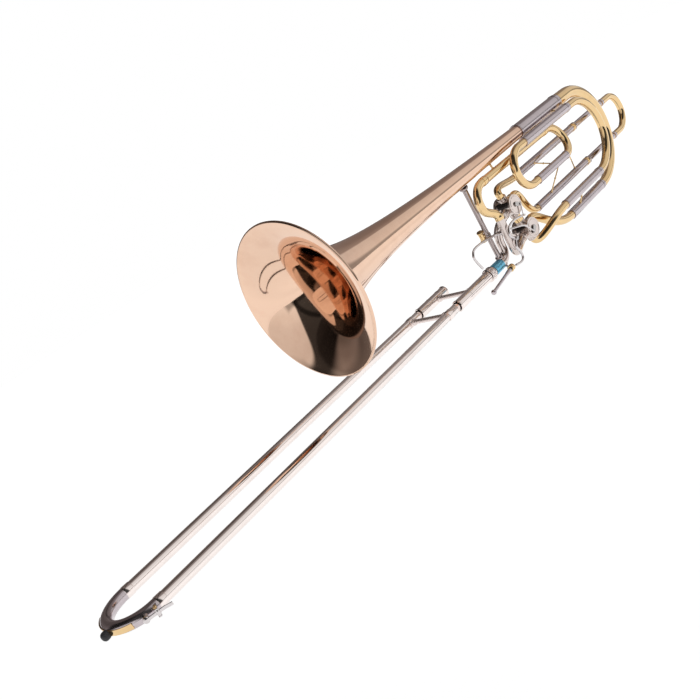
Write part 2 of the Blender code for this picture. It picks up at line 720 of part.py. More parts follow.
def make_gooseneck_and_receiver():
    end, out = port(VALVE_CENTRE, 2)
    start = X * RECEIVER_END_X
    knee_r = 17 * MM
    knee = start + Z * knee_r
    path = arc(knee, knee_r, -90, 0, 4)
    path = join(path, curve(path[-1][0] + Z * 12 * MM, Z, end, -out, (26 * MM, 16 * MM), 6))
    add("gooseneck", nickel, tube(trimmed(path), STUB_R - 1 * MM, PORT_BORE_R))
    tenon_hole = TENON_OD / 2 + RUNNING
    radius = RECEIVER_OD / 2
    neck = PORT_BORE_R + 0.4 * MM
    outline = [
        (RECEIVER_START_X, tenon_hole),
        (RECEIVER_START_X, radius),
        (RECEIVER_END_X - 3 * MM, radius),
        (RECEIVER_END_X - 3 * MM, radius + 1 * MM),
        (RECEIVER_END_X, radius + 1 * MM),
        (RECEIVER_END_X, neck),
        (TENON_END_X + CLEAR, neck),
        (TENON_END_X + CLEAR, tenon_hole),
    ]
    add("slide_receiver", nickel, turned(outline, Vector((0, 0, 0))))
    film = radius + CLEAR
    outline = [
        (BAND_START_X, film),
        (BAND_START_X, film + BAND_WALL),
        (BAND_END_X, film + BAND_WALL),
        (BAND_END_X, film),
    ]
    add("receiver_band", blue_film, turned(outline, Vector((0, 0, 0))))
    half = LOCK_NUT_LENGTH / 2
    step_x = RECEIVER_START_X - CLEAR
    wide = radius + RUNNING
    nut_r = LOCK_NUT_OD / 2
    outline = [
        (-half, tenon_hole),
        (-half, nut_r - 1.5 * MM),
        (1.5 * MM - half, nut_r),
        (half - 1.5 * MM, nut_r),
        (half, nut_r - 1.5 * MM),
        (half, wide),
        (step_x, wide),
        (step_x, tenon_hole),
    ]
    add("lock_nut", nickel, turned(outline, Vector((0, 0, 0)), X, 20), pivot=lock_nut_pivot)


def make_hand_brace():
    """A tube from the bell's stem to the receiver, its feet cut to fit both."""
    stem_r = bell_radius(HAND_BRACE_TOP_X)
    top = Vector((HAND_BRACE_TOP_X, BELL_Y, BELL_Z))
    bottom = X * (RECEIVER_END_X - 4 * MM)
    along = (bottom - top).normalized()
    length = (bottom - top).length
    first = stem_r - 2 * MM
    last = length - RECEIVER_OD / 2 + 2 * MM
    thin = HAND_BRACE_OD / 2
    middle = length * 0.665
    outline = [
        (first, 0),
        (first, thin + 3.5 * MM),
        (first + 4 * MM, thin + 3.5 * MM),
        (first + 7 * MM, thin),
        (middle - 5 * MM, thin),
        (middle - 4 * MM, thin + 1.4 * MM),
        (middle + 4 * MM, thin + 1.4 * MM),
        (middle + 5 * MM, thin),
        (last - 7 * MM, thin),
        (last - 4 * MM, thin + 2.5 * MM),
        (last, thin + 2.5 * MM),
        (last, 0),
    ]
    brace = add("hand_brace", nickel, turned(outline, top, along, 14))
    reach = 30 * MM
    stem = rod(top - X * reach, top + X * reach, stem_r + 0.9 * MM, 24)
    holder = rod(bottom - X * reach, bottom + X * reach, RECEIVER_OD / 2 + 1 * MM + CLEAR, 24)
    boolean(brace, "DIFFERENCE", "brace_seats", stem, holder)
    return top + along * middle


def cross_brace(x, first, second, first_r, second_r, radius=1.3 * MM):
    """A thin rod between two tubes that run along X. Each is given by its y, z and radius."""
    start = Vector((x, *first))
    end = Vector((x, *second))
    out = (end - start).normalized()
    gap = CLEAR + radius * 0.1
    low, high = start + out * (first_r + gap), end - out * (second_r + gap)
    foot, foot_r = 1.6 * MM, radius * 2.0
    length = (high - low).length
    outline = [
        (0, 0),
        (0, foot_r),
        (foot, radius),
        (length - foot, radius),
        (length, foot_r),
        (length, 0),
    ]
    return turned(outline, low, out, 8)


def make_wrap_braces():
    first_r = FIRST_OD / 2 + SLEEVE_WALL
    second_r = SECOND_OD / 2 + SLEEVE_WALL
    coil_r = FIRST_OD / 2 + 0.6 * MM
    bell_sleeve_r = bell_radius(MAIN_SLEEVE_START_X) + RUNNING + SLEEVE_WALL
    low_sleeve_r = MAIN_LOWER_OD / 2 + RUNNING + SLEEVE_WALL
    bell_line = (BELL_Y, BELL_Z)
    low_line = (BELL_Y, MAIN_LOWER_Z)
    first_up = (FIRST_Y, FIRST_UPPER_Z)
    first_low = (FIRST_Y, FIRST_LOWER_Z)
    second_up = (SECOND_Y, SECOND_UPPER_Z)
    second_low = (SECOND_Y, SECOND_LOWER_Z)
    coil_line = (FIRST_Y, COIL_LEG_Z)
    long_line = (LONG_TUBE_Y, LONG_TUBE_Z)
    tube_r = FIRST_OD / 2
    braces = (
        ("bell_stem_brace", 90, bell_line, bell_radius(90 * MM), long_line, tube_r),
        ("upper_sleeve_brace", 330, bell_line, bell_sleeve_r, first_up, first_r),
        ("coil_brace", 246, second_up, second_r, coil_line, coil_r),
        ("lower_coil_brace", 262, coil_line, coil_r, second_low, second_r),
        ("second_wrap_brace", 380, second_up, second_r, second_low, second_r),
        ("lower_sleeve_brace", 300, first_low, first_r, low_line, low_sleeve_r),
    )
    for name, x, first, radius, second, second_radius in braces:
        brace = cross_brace(x * MM, first, second, radius, second_radius)
        add(name, yellow_brass, brace)


def make_levers(brace_middle):
    """Each lever turns on a pin, and its far arm carries a link to a stop arm."""
    bore = PIN_R + CLEAR
    hub = [(-THUMB_HUB_HALF, bore), (-THUMB_HUB_HALF, HUB_R)]
    hub += [(THUMB_HUB_HALF, HUB_R), (THUMB_HUB_HALF, bore)]
    lever = add("thumb_lever", chrome, turned(hub, THUMB_PIVOT, Y, 14), pivot=thumb_pivot)
    centre = THUMB_PIVOT
    paddle = [centre + at(-3, 2.5, 0.4), *THUMB_PADDLE]
    link_y = LINK_Y - LINK_THICKNESS / 2 - CLEAR - LEVER_ROD_R
    arm_end = Vector((THUMB_LINK_X, link_y, THUMB_LINK_Z))
    arm = [centre + at(3, -3, -0.3), *THUMB_ARM, arm_end]
    rods = [
        tube(through(paddle, 2), LEVER_ROD_R, None, 6),
        tube(through(arm, 2), (LEVER_ROD_R, LEVER_ROD_R * 0.8), None, 6),
    ]
    boolean(lever, "UNION", "thumb_rods", *rods, pivot=thumb_pivot)
    hub = [(-FINGER_HUB_HALF, bore), (-FINGER_HUB_HALF, HUB_R)]
    hub += [(FINGER_HUB_HALF, HUB_R), (FINGER_HUB_HALF, bore)]
    lever = add("finger_lever", chrome, turned(hub, FINGER_PIVOT, Y, 14), pivot=finger_pivot)
    centre = FINGER_PIVOT
    finger_end = Vector((FINGER_LINK_X, link_y, FINGER_LINK_Z))
    upper = [centre + at(-2.4, 0, 1.8), *FINGER_ARM, finger_end]
    lower = [centre + at(-2.2, 0, -2.2), *FINGER_TAIL]
    rods = [
        tube(through(upper, 2), LEVER_ROD_R, None, 6),
        tube(through(lower, 2), LEVER_ROD_R, None, 6),
    ]
    boolean(lever, "UNION", "finger_rods", *rods, pivot=finger_pivot)
    length = 2 * PIN_HEAD_LENGTH + HUB_GAP + CLEAR + 2 * FINGER_HUB_HALF
    finger_pin = [
        (0, 0),
        (0, PIN_HEAD_R),
        (PIN_HEAD_LENGTH, PIN_HEAD_R),
        (PIN_HEAD_LENGTH, PIN_R),
        (length - PIN_HEAD_LENGTH, PIN_R),
        (length - PIN_HEAD_LENGTH, PIN_HEAD_R),
        (length, PIN_HEAD_R),
        (length, 0),
    ]
    origin = Vector((centre.x, FINGER_SEAT_Y, centre.z))
    add("finger_lever_pin", steel, turned(finger_pin, origin, -Y, 12))
    centre = THUMB_PIVOT
    start = Vector((brace_middle.x + HAND_BRACE_OD / 2 + 2.4 * MM, brace_middle.y, centre.z))
    knee = Vector((centre.x, centre.y + THUMB_HUB_HALF + 5.0 * MM, centre.z))
    end = Vector((centre.x, centre.y - THUMB_HUB_HALF - 1.0 * MM, centre.z))
    path = join(curve(start, X, knee, -Y, 5 * MM, 5), line(knee, end))
    add("thumb_lever_pin", steel, tube(path, PIN_R, None, 10))
    make_link("thumb", arm_end, pin_point(lower_valve_centre(), 220))
    make_link("finger", finger_end, pin_point(VALVE_CENTRE, -25))
    make_lever_spring()


def pin_point(centre, degrees):
    angle = math.radians(degrees)
    return centre + (X * math.cos(angle) + Z * math.sin(angle)) * STOP_ARM_R


def make_link(name, lever_end, target):
    """A link from a lever's end to a stop arm, lying just in front of both."""
    y = LINK_Y
    start = Vector((lever_end.x, y, lever_end.z))
    end = Vector((target.x, y, target.z))
    along = (end - start).normalized()
    pivot = add_pivot(name + "_link_pivot", start)
    path = line(start - along * 2 * MM, end + along * 2 * MM)
    add(name + "_link", chrome, strip(path, 4 * MM, LINK_THICKNESS, along.cross(Y)), pivot=pivot)


def coil(centre, axis, radius, wire, turns, length, per_turn=8):
    side, up = ring_frames([(centre, axis)])[0]
    points = []
    for step in range(turns * per_turn + 1):
        angle = 2 * math.pi * step / per_turn
        out = side * math.cos(angle) + up * math.sin(angle)
        points.append(centre + out * radius + axis * (length * step / (turns * per_turn)))
    path = []
    for index, point in enumerate(points):
        before = points[max(index - 1, 0)]
        after = points[min(index + 1, len(points) - 1)]
        path.append((point, (after - before).normalized()))
    return tube(path, wire, None, 5)


def make_lever_spring():
    """A coil round the thumb lever's pin, which brings the lever back."""
    wire = 0.45 * MM
    start = THUMB_PIVOT + Y * (THUMB_HUB_HALF + CLEAR + wire)
    add("lever_spring", steel, coil(start, Y, PIN_R + CLEAR + wire, wire, 2, 2.8 * MM))


def make_inner_slide():
    bore = SLIDE_BORE / 2
    inner_r = INNER_TUBE_OD / 2
    barrel_r = BARREL_OD / 2
    barrel_bore = barrel_r - BARREL_WALL
    seat = inner_r + CLEAR
    tube_end = CROOK_START_X + INNER_TUBE_STOP
    tenon = [
        (BELL_BARREL_END_X, TENON_OD / 2),
        (TENON_END_X, TENON_OD / 2),
        (TENON_END_X, TENON_BORE_R),
    ]
    flare = MOUTHPIECE_END_X - 3 * MM
    socket = MOUTHPIECE_SOCKET_D / 2
    mouthpiece_socket = [
        (flare, barrel_r - 0.6 * MM),
        (flare, barrel_r + 1 * MM),
        (MOUTHPIECE_END_X, barrel_r + 1 * MM),
        (MOUTHPIECE_END_X, socket + 0.6 * MM),
    ]
    tops = (BELL_BARREL_END_X - 12 * MM, MOUTH_BARREL_END_X - 12 * MM)
    ends = ((BELL_BARREL_END_X, 0.0), (MOUTH_BARREL_END_X, SLIDE_SPACING))
    for side, (end, y), top in zip(SLIDE_SIDES, ends, tops):
        path = line(in_slide(tube_end, y), in_slide(top, y))
        add(side + "_inner_tube", chrome, tube(path, inner_r, bore))
        mouth = BARREL_MOUTH_X
        chamber = mouth + 30 * MM
        bell_side = y == 0.0
        neck = TENON_BORE_R if bell_side else MOUTHPIECE_SOCKET_D / 2
        far = tenon if bell_side else mouthpiece_socket
        outline = [
            (mouth, barrel_bore),
            (mouth, barrel_r + 0.8 * MM),
            (mouth + 3 * MM, barrel_r + 0.8 * MM),
            (mouth + 3 * MM, barrel_r),
            (end, barrel_r),
            *far,
            (top + CLEAR, neck),
            (top + CLEAR, seat),
            (chamber, seat),
            (chamber, barrel_bore),
        ]
        add(side + "_barrel", nickel, turned(outline, in_slide(0, y)))
    brace = slide_brace(INNER_BRACE_X, barrel_r, 1.6 * MM)
    add("inner_brace", nickel, brace)


def slide_brace(x, tube_r, foot):
    """A brace tube between the slide's two sides, with a foot at each end."""
    gap = CLEAR + 0.25 * MM
    first = tube_r + gap
    last = SLIDE_SPACING - tube_r - gap
    thin = BRACE_TUBE_OD / 2
    flange = thin + 2.4 * MM
    outline = [
        (first, 0),
        (first, flange),
        (first + foot, flange),
        (first + 2.5 * foot, thin),
        (last - 2.5 * foot, thin),
        (last - foot, flange),
        (last, flange),
        (last, 0),
    ]
    return turned(outline, in_slide(x, 0), Y, 14)


def make_outer_slide():
    outer_r = OUTER_TUBE_OD / 2
    bore = outer_r - OUTER_TUBE_WALL
    top = BARREL_MOUTH_X + OUTER_TUBE_INSERT
    low = CROOK_START_X
    ferrule = FERRULE_OD / 2
    wide = outer_r + 0.3 * MM
    for side, y in zip(SLIDE_SIDES, (0.0, SLIDE_SPACING)):
        outline = [
            (low + CLEAR, bore),
            (low + CLEAR, ferrule),
            (low + FERRULE_LENGTH, ferrule),
            (low + FERRULE_LENGTH, outer_r),
            (top, outer_r),
            (top, bore),
        ]
        add(side + "_outer_tube", chrome, turned(outline, in_slide(0, y)), pivot=hand_slide)
    centre = in_slide(low, SLIDE_SPACING / 2)
    radius = SLIDE_SPACING / 2
    path = arc(centre, radius, -90, -270, 10, X, Y)
    crook = add("slide_crook", yellow_brass, tube(path, wide, bore), pivot=hand_slide)
    thin = OUTER_TUBE_OD / 2
    brace = slide_brace(OUTER_BRACE_X, thin, 1.6 * MM)
    add("outer_brace", nickel, brace, pivot=hand_slide)
    guard_t = 0.8 * MM
    guard_r = radius + outer_r + guard_t * 0.3
    path = arc(centre, guard_r, 118, 172, 4, X, Y)
    guard = strip(path, 7 * MM, guard_t, Z)
    boolean(crook, "UNION", "crook_guard", guard, pivot=hand_slide)
    reach = radius + outer_r + CLEAR
    bumper_r = 6.0 * MM
    outline = [
        (0, 0),
        (0, bumper_r - 1 * MM),
        (2 * MM, bumper_r),
        (6 * MM, bumper_r),
        (8.5 * MM, bumper_r - 2.2 * MM),
        (9.5 * MM, 0),
    ]
    angle = math.radians(188)
    out = X * math.cos(angle) + Y * math.sin(angle)
    bumper = turned(outline, centre + out * reach, out, 14)
    add("slide_bumper", rubber, bumper, pivot=hand_slide)
    make_water_key(crook, centre, radius, outer_r)


def make_water_key(crook, centre, radius, outer_r):
    """A nipple on the crook, and a sprung lever that closes it with a cork."""
    angle = math.radians(248)
    out = X * math.cos(angle) + Y * math.sin(angle)
    base = centre + out * (radius + outer_r)
    nipple = turned([(-2 * MM, 0), (-2 * MM, 3.2 * MM), (4 * MM, 3.2 * MM), (4 * MM, 0)], base, out, 12)
    drain = turned([(-6 * MM, 0), (-6 * MM, 1.6 * MM), (8 * MM, 1.6 * MM), (8 * MM, 0)], base, out, 10)
    cork_low = base + out * (4 * MM + CLEAR)
    cork_shape = [(0, 0), (0, 3.6 * MM), (2.4 * MM, 3.6 * MM), (2.4 * MM, 0)]
    along = out.cross(Z)
    pivot_point = cork_low + out * 4.6 * MM - along * 15 * MM
    pivot = add_pivot("water_key_pivot", pivot_point)
    add("water_key_cork", cork, turned(cork_shape, cork_low, out, 12), pivot=pivot)
    lever_low = cork_low + out * (2.4 * MM + CLEAR)
    cup = [(0, 0), (0, 4.2 * MM), (1.6 * MM, 4.2 * MM), (2.6 * MM, 2 * MM), (2.6 * MM, 0)]
    lever = add("water_key_lever", chrome, turned(cup, lever_low, out, 12), pivot=pivot)
    arm_start = lever_low + out * 1.4 * MM
    finger = arm_start - along * 34 * MM + out * 3 * MM
    arm = line(arm_start, arm_start - along * 20 * MM)
    arm = join(arm, curve(arm[-1][0] - along * 1 * MM, -along, finger, -along, 5 * MM, 4))
    hub_half = 4 * MM
    hub = [(-hub_half, 0), (-hub_half, 2.6 * MM), (hub_half, 2.6 * MM), (hub_half, 0)]
    shapes = (strip(arm, 4.4 * MM, 1.6 * MM, Z), turned(hub, pivot_point, Z, 12))
    boolean(lever, "UNION", "water_key_arm", shapes[0], pivot=pivot)
    boolean(lever, "UNION", "water_key_hub", shapes[1], pivot=pivot)
    posts = []
    for way in (-1, 1):
        inner = pivot_point + Z * way * (hub_half + CLEAR)
        outer = inner + Z * way * 1.4 * MM
        foot = pivot_point - out * 13.6 * MM
        low = Vector((foot.x, foot.y, inner.z))
        middle = (inner + outer) / 2
        post = line(middle + out * 2.4 * MM, Vector((low.x, low.y, middle.z)))
        posts.append(strip(post, 4.4 * MM, 1.4 * MM, along))
    boolean(crook, "UNION", "water_key_nipple", nipple, pivot=hand_slide)
    for post, side in zip(posts, ("low", "high")):
        boolean(crook, "UNION", "water_key_post_" + side, post, pivot=hand_slide)
    boolean(crook, "DIFFERENCE", "water_key_drain", drain, pivot=hand_slide)
    wire = 0.4 * MM
    spring = coil(
        pivot_point + Z * (hub_half + CLEAR + 1.4 * MM + CLEAR + wire), Z, 2.0 * MM, wire, 3, 3 * MM
    )
    add("water_key_spring", yellow_brass, spring, pivot=hand_slide)


def make_hand_rest():
    """A knurled knob, a dark collar and a rod below the receiver, for the left hand."""
    knob_at = at(42, -15.4, -13)
    end = at(-54, -33, -14)
    along = (end - knob_at).normalized()
    thin = HAND_REST_R
    knob_r = 5.4 * MM
    length = (end - knob_at).length
    outline = [
        (-5 * MM, 0),
        (-5 * MM, knob_r - 0.6 * MM),
        (4 * MM, knob_r),
        (4 * MM, knob_r - 1.2 * MM),
        (9 * MM, knob_r - 1.2 * MM),
        (24 * MM, 3.6 * MM),
        (27 * MM, thin),
        (length - 5 * MM, thin),
        (length - 4 * MM, thin + 1.4 * MM),
        (length - 1 * MM, thin + 1.4 * MM),
        (length, 0),
    ]
    rest = add("hand_rest", nickel, turned(outline, knob_at, along, 14))
    below = Vector((0, knob_at.y, knob_at.z)).normalized()
    seat = X * knob_at.x + below * (RECEIVER_OD / 2 + CLEAR)
    boolean(rest, "UNION", "hand_rest_post", rod(seat, knob_at, 2.2 * MM, 9))


make_bell()
make_main_slide()
make_lower_main_tube()
make_first_wrap()
make_second_wrap()
make_valves()
make_gooseneck_and_receiver()
brace_middle_point = make_hand_brace()
make_wrap_braces()
make_levers(brace_middle_point)
make_inner_slide()
make_outer_slide()
make_hand_rest()
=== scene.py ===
"""Looks of the bass trombone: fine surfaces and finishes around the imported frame.

Every piece rides on its CAD body and stands where its CAD node stands. Sizes are in
millimetres, and piece() turns them into metres. The studio and the camera are in metres.
"""

import math

import bmesh
import bpy
from mathutils import Matrix, Vector


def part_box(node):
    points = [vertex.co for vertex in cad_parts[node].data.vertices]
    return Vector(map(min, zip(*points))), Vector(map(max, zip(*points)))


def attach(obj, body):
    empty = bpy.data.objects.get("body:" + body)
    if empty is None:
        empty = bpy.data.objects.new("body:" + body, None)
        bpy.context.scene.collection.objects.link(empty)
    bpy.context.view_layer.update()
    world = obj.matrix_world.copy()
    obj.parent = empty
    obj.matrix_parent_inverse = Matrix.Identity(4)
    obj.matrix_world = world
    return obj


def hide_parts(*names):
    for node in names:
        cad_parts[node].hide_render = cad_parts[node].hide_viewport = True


MM = 0.001
X = Vector((1, 0, 0))
Y = Vector((0, 1, 0))
Z = Vector((0, 0, 1))

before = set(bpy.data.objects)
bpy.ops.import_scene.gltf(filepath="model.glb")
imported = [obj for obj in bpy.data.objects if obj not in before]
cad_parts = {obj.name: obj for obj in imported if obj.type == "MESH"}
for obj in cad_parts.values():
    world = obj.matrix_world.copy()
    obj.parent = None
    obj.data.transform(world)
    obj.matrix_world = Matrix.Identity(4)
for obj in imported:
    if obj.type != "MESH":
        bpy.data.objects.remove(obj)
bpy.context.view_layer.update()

# Slide
SPACING = 90.0
INNER_TUBE_R = 7.5
SLIDE_BORE_R = 7.15
OUTER_TUBE_R = 8.1
OUTER_BORE_R = 7.75
BARREL_R = 10.0
SOCKET_R = 6.35
FERRULE_R = 8.8
BRACE_R = 4.25
BARREL_LOW_X = -112
INNER_BRACE_X = -58
OUTER_BRACE_X = -140
SLIDE_LOW_X = -790
BUMPER_ANGLE = 188
WATER_KEY_ANGLE = 248

# Bell
BELL_Y = -30.0
BELL_Z = 180.0
BELL_RIM_X = -412.0
BELL_RIM_R = 119.8
BELL_END_X = 222.0
BELL_FLARE_SHIFT = 23.4
BELL_FLARE_POWER = 0.67
BELL_WALL = 0.9
RIM_BEAD_R = 2.2

# Tubes of the valve section
TUBE_WALL = 0.8
SLEEVE_WALL = 1.1
CLEARANCE = 0.4
GAP = 0.3
MAIN_LOWER_Z = -18.0
MAIN_LOWER_R = 8.5
MAIN_CROOK_X = 410.0
FIRST_Y = -55.0
FIRST_R = 7.5
FIRST_UPPER_Z = 164.0
FIRST_LOWER_Z = 18.0
FIRST_CROOK_X = 379.0
COIL_LEG_Z = 92.0
COIL_LEFT_X = 156.0
LONG_TUBE_Y = -37.0
LONG_TUBE_Z = 151.0
LONG_TUBE_START_X = 40.0
FRONT_BEND_R = 28.0
DOWN_TUBE_X = 38.0
DOWN_TUBE_Y = -42.0
DOWN_TUBE_TOP_Z = 80.0
DOWN_TUBE_LOW_Z = 36.0
SECOND_Y = -6.0
SECOND_R = 6.8
SECOND_UPPER_Z = 109.0
SECOND_LOWER_Z = 32.0
SECOND_CROOK_X = 611.0
SECOND_CROOK_END_X = 572.0

# Valves
UPPER_VALVE = Vector((104.0, -20.0, 80.0))
VALVE_SPACING = 60.0
PORT_ANGLE = 20.0
CASING_R = 18.0
CASING_HALF = 17.0
STUB_R = 9.0
STUB_REACH = 24.0
PORT_BORE_R = 6.4
STOP_ARM_R = 10.0
UPPER_ARM_ANGLE = -25
LOWER_ARM_ANGLE = 220
LINK_Y = -40.8

# Receiver and nut
RECEIVER_R = 9.3
RECEIVER_END_X = 48.0
NUT_R = 12.9

# Photo camera, in metres
CAMERA_AT = Vector((-1.0182, -0.8424, 0.3876))
CAMERA_RIGHT = Vector((0.5971, -0.6459, -0.4757))
CAMERA_UP = Vector((0.5417, -0.1127, 0.8330))
CAMERA_LENS = 39.09

# Meshes
FINE = 40
BELL_SIDES = 180
SHARP_ANGLE = 38
KNURL_CUT = 0.25

# Studio, in metres
ROOM_LIGHT = 0.6
FLOOR_GLOW = 0.27
FLOOR_GLOW_RISE = 0.3
FLOOR_HALF = 14.0
FLOOR_Z = -1.1
LAMP_TARGET = Vector((-0.1, 0.0, 0.05))
DARK_ROOM_WAY = (0.18, 0.70, 0.70)
DARK_DOOR_WAY = (-0.30, 0.76, 0.58)
TENT_SLIT_ACROSS = (0.788, -0.616, 0.0)
TENT_MOUTH_WAY = (0.979, 0.128, 0.161)
DOOR_SHADE = 0.8
SLIT_SHADE = 0.3
EDGE_SHADE = 0.45
MOUTH_SHADE = 0.06
ROOM_SHADES = (
    (0.20, (1, 1, 1, 1)),
    (0.36, (0.90, 0.89, 0.88, 1)),
    (0.50, (0.80, 0.78, 0.77, 1)),
    (0.715, (0.72, 0.70, 0.69, 1)),
    (0.75, (0.34, 0.305, 0.295, 1)),
    (0.86, (0.24, 0.205, 0.195, 1)),
    (0.96, (0.15, 0.125, 0.115, 1)),
)


def box(node):
    """The low and high corner of a node."""
    return [Vector(corner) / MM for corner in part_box(node)]


def span(node):
    """The x where a node starts and ends."""
    low, high = box(node)
    return low.x, high.x


def at(x, y, z):
    """A point in millimetres."""
    return Vector((x, y, z))


def leaning(degrees, up):
    """The direction this many degrees from X towards up."""
    angle = math.radians(degrees)
    return X * math.cos(angle) + up * math.sin(angle)


def line(start, end):
    """A straight path. A path lists points, each with the direction it runs in there."""
    along = (end - start).normalized()
    return [(start, along), (end, along)]


def arc(centre, radius, first, last, steps, side=X, up=Z):
    path = []
    turn = 1 if last > first else -1
    for step in range(steps + 1):
        angle = math.radians(first + (last - first) * step / steps)
        out = side * math.cos(angle) + up * math.sin(angle)
        along = (up * math.cos(angle) - side * math.sin(angle)) * turn
        path.append((centre + out * radius, along))
    return path


def curve(start, start_way, end, end_way, reach, steps):
    """A cubic curve. reach is how far it keeps each end's direction."""
    b = start + start_way.normalized() * reach[0]
    c = end - end_way.normalized() * reach[1]
    path = []
    for step in range(steps + 1):
        t = step / steps
        s = 1 - t
        point = start * s**3 + b * 3 * s * s * t + c * 3 * s * t * t + end * t**3
        along = (b - start) * s * s + (c - b) * 2 * s * t + (end - c) * t * t
        path.append((point, along.normalized()))
    return path


def through(points):
    """A smooth path through the points."""
    ends = [points[0] * 2 - points[1], *points, points[-1] * 2 - points[-2]]
    path = []
    for before, start, end, after in zip(ends, ends[1:], ends[2:], ends[3:]):
        leave = end - before
        arrive = after - start
        reach = (leave.length / 6, arrive.length / 6)
        path = join(path, curve(start, leave, end, arrive, reach, 10))
    return path


def join(*paths):
    """One path of all these, without doubled points."""
    joined = []
    for path in paths:
        for point, along in path:
            if not joined or (point - joined[-1][0]).length > 0.001:
                joined.append((point, along))
    return joined


def ring_frames(path):
    """Two directions across each point of a path, which don't twist along it."""
    along = path[0][1]
    side = Z if abs(along.dot(Y)) > 0.7 else Y
    frames = []
    for _, along in path:
        side = (side - along * side.dot(along)).normalized()
        frames.append((side, along.cross(side)))
    return frames


def rings_to_shape(rings, closed):
    """The points and faces of a solid skinned over rings, capped at both ends or closed round."""
    points, starts = [], []
    for ring in rings:
        starts.append(len(points))
        points.extend(ring)
    faces = []
    for index in range(len(rings) if closed else len(rings) - 1):
        after = (index + 1) % len(rings)
        here, there = rings[index], rings[after]
        sides = max(len(here), len(there))
        if sides == 1:
            continue
        for turn in range(sides):
            step = (turn + 1) % sides
            corners = [starts[index] + turn % len(here), starts[index] + step % len(here)]
            corners += [starts[after] + step % len(there), starts[after] + turn % len(there)]
            faces.append(list(dict.fromkeys(corners)))
    if not closed:
        faces.append(list(range(len(rings[0])))[::-1])
        faces.append([starts[-1] + turn for turn in range(len(rings[-1]))])
    return points, outward(points, faces)


def outward(points, faces):
    """The same faces, turned so that they look out of the solid."""
    volume = 0
    for face in faces:
        first = points[face[0]]
        for second, third in zip(face[1:], face[2:]):
            volume += first.dot(points[second].cross(points[third]))
    return faces if volume > 0 else [face[::-1] for face in faces]


def ring_at(centre, side, up, radius, sides):
    ring = []
    for turn in range(sides):
        angle = 2 * math.pi * turn / sides
        ring.append(centre + (side * math.cos(angle) + up * math.sin(angle)) * radius)
    return ring


def rings_along(path, size, sides):
    """A ring at each point of a path. size is one radius, or the first and the last."""
    first, last = size if isinstance(size, tuple) else (size, size)
    lengths = [0.0]
    for (here, _), (there, _) in zip(path, path[1:]):
        lengths.append(lengths[-1] + (there - here).length)
    rings = []
    for (point, _), (side, up), length in zip(path, ring_frames(path), lengths):
        radius = first + (last - first) * length / lengths[-1]
        rings.append(ring_at(point, side, up, radius, sides))
    return rings


def tube(path, outer, inner=None, sides=FINE):
    """A hollow tube along a path, or a rod where inner is None."""
    rings = rings_along(path, outer, sides)
    if inner is None:
        return rings_to_shape(rings, closed=False)
    return rings_to_shape(rings + rings_along(path, inner, sides)[::-1], closed=True)


def turned(outline, origin, axis, sides, knurl=math.inf):
    """A turned solid. Its outline gives distance along the axis and radius.

    Rings wider than knurl carry fine straight knurling.
    """
    side, up = ring_frames([(origin, axis)])[0]
    rings = []
    for along, radius in outline:
        centre = origin + axis * along
        ring = [centre] if radius == 0 else ring_at(centre, side, up, radius, sides)
        if radius > knurl:
            ring[1::2] = ring_at(centre, side, up, radius - KNURL_CUT, sides)[1::2]
        rings.append(ring)
    return rings_to_shape(rings, closed=True)


def bulge(start, end, low, high, steps=6):
    """Outline points of a rounded bead from start to end, which rises from low to high."""
    points = []
    for step in range(steps + 1):
        angle = math.pi * step / steps
        along = (start + end) / 2 - (end - start) / 2 * math.cos(angle)
        points.append((along, low + (high - low) * math.sin(angle)))
    return points


def mirrored(outline, total):
    """The outline's mirror image. A place and its image add up to the total."""
    return [(total - along, radius) for along, radius in outline[::-1]]


def softened(outline, size):
    """The outline with each sharp corner rounded by a small arc of three points."""
    soft = []
    for index, (along, radius) in enumerate(outline):
        here = Vector((along, radius))
        back = Vector(outline[index - 1]) - here
        ahead = Vector(outline[(index + 1) % len(outline)]) - here
        short = min(back.length, ahead.length) < 0.0001
        if radius == 0 or short or abs(back.normalized().dot(ahead.normalized())) > 0.9:
            soft.append((along, radius))
            continue
        cut = min(size, back.length * 0.4, ahead.length * 0.4)
        first = here + back.normalized() * cut
        last = here + ahead.normalized() * cut
        middle = (first + last) / 4 + here / 2
        soft += [tuple(first), tuple(middle), tuple(last)]
    return soft


def strip(path, width, thickness, across):
    """A flat strip with rounded edges along a path."""
    rings = []
    for point, along in path:
        out = along.cross(across).normalized()
        ring = []
        for turn in range(20):
            angle = 2 * math.pi * turn / 20
            a = math.copysign(abs(math.cos(angle)) ** 0.35, math.cos(angle))
            b = math.copysign(abs(math.sin(angle)) ** 0.35, math.sin(angle))
            ring.append(point + across * width / 2 * a + out * thickness / 2 * b)
        rings.append(ring)
    return rings_to_shape(rings, closed=False)


def piece(name, material, body, nodes, *shapes):
    """One smooth-shaded object that rides on a body and stands for CAD nodes."""
    mesh = bpy.data.meshes.new(name)
    build = bmesh.new()
    for points, faces in shapes:
        corners = [build.verts.new(point * MM) for point in points]
        for face in faces:
            build.faces.new([corners[index] for index in face])
    build.to_mesh(mesh)
    build.free()
    mesh.shade_smooth()
    mesh.set_sharp_from_angle(angle=math.radians(SHARP_ANGLE))
    mesh.materials.append(material)
    made = bpy.data.objects.new(name, mesh)
    bpy.context.scene.collection.objects.link(made)
    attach(made, body)
    if nodes:
        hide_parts(*nodes)


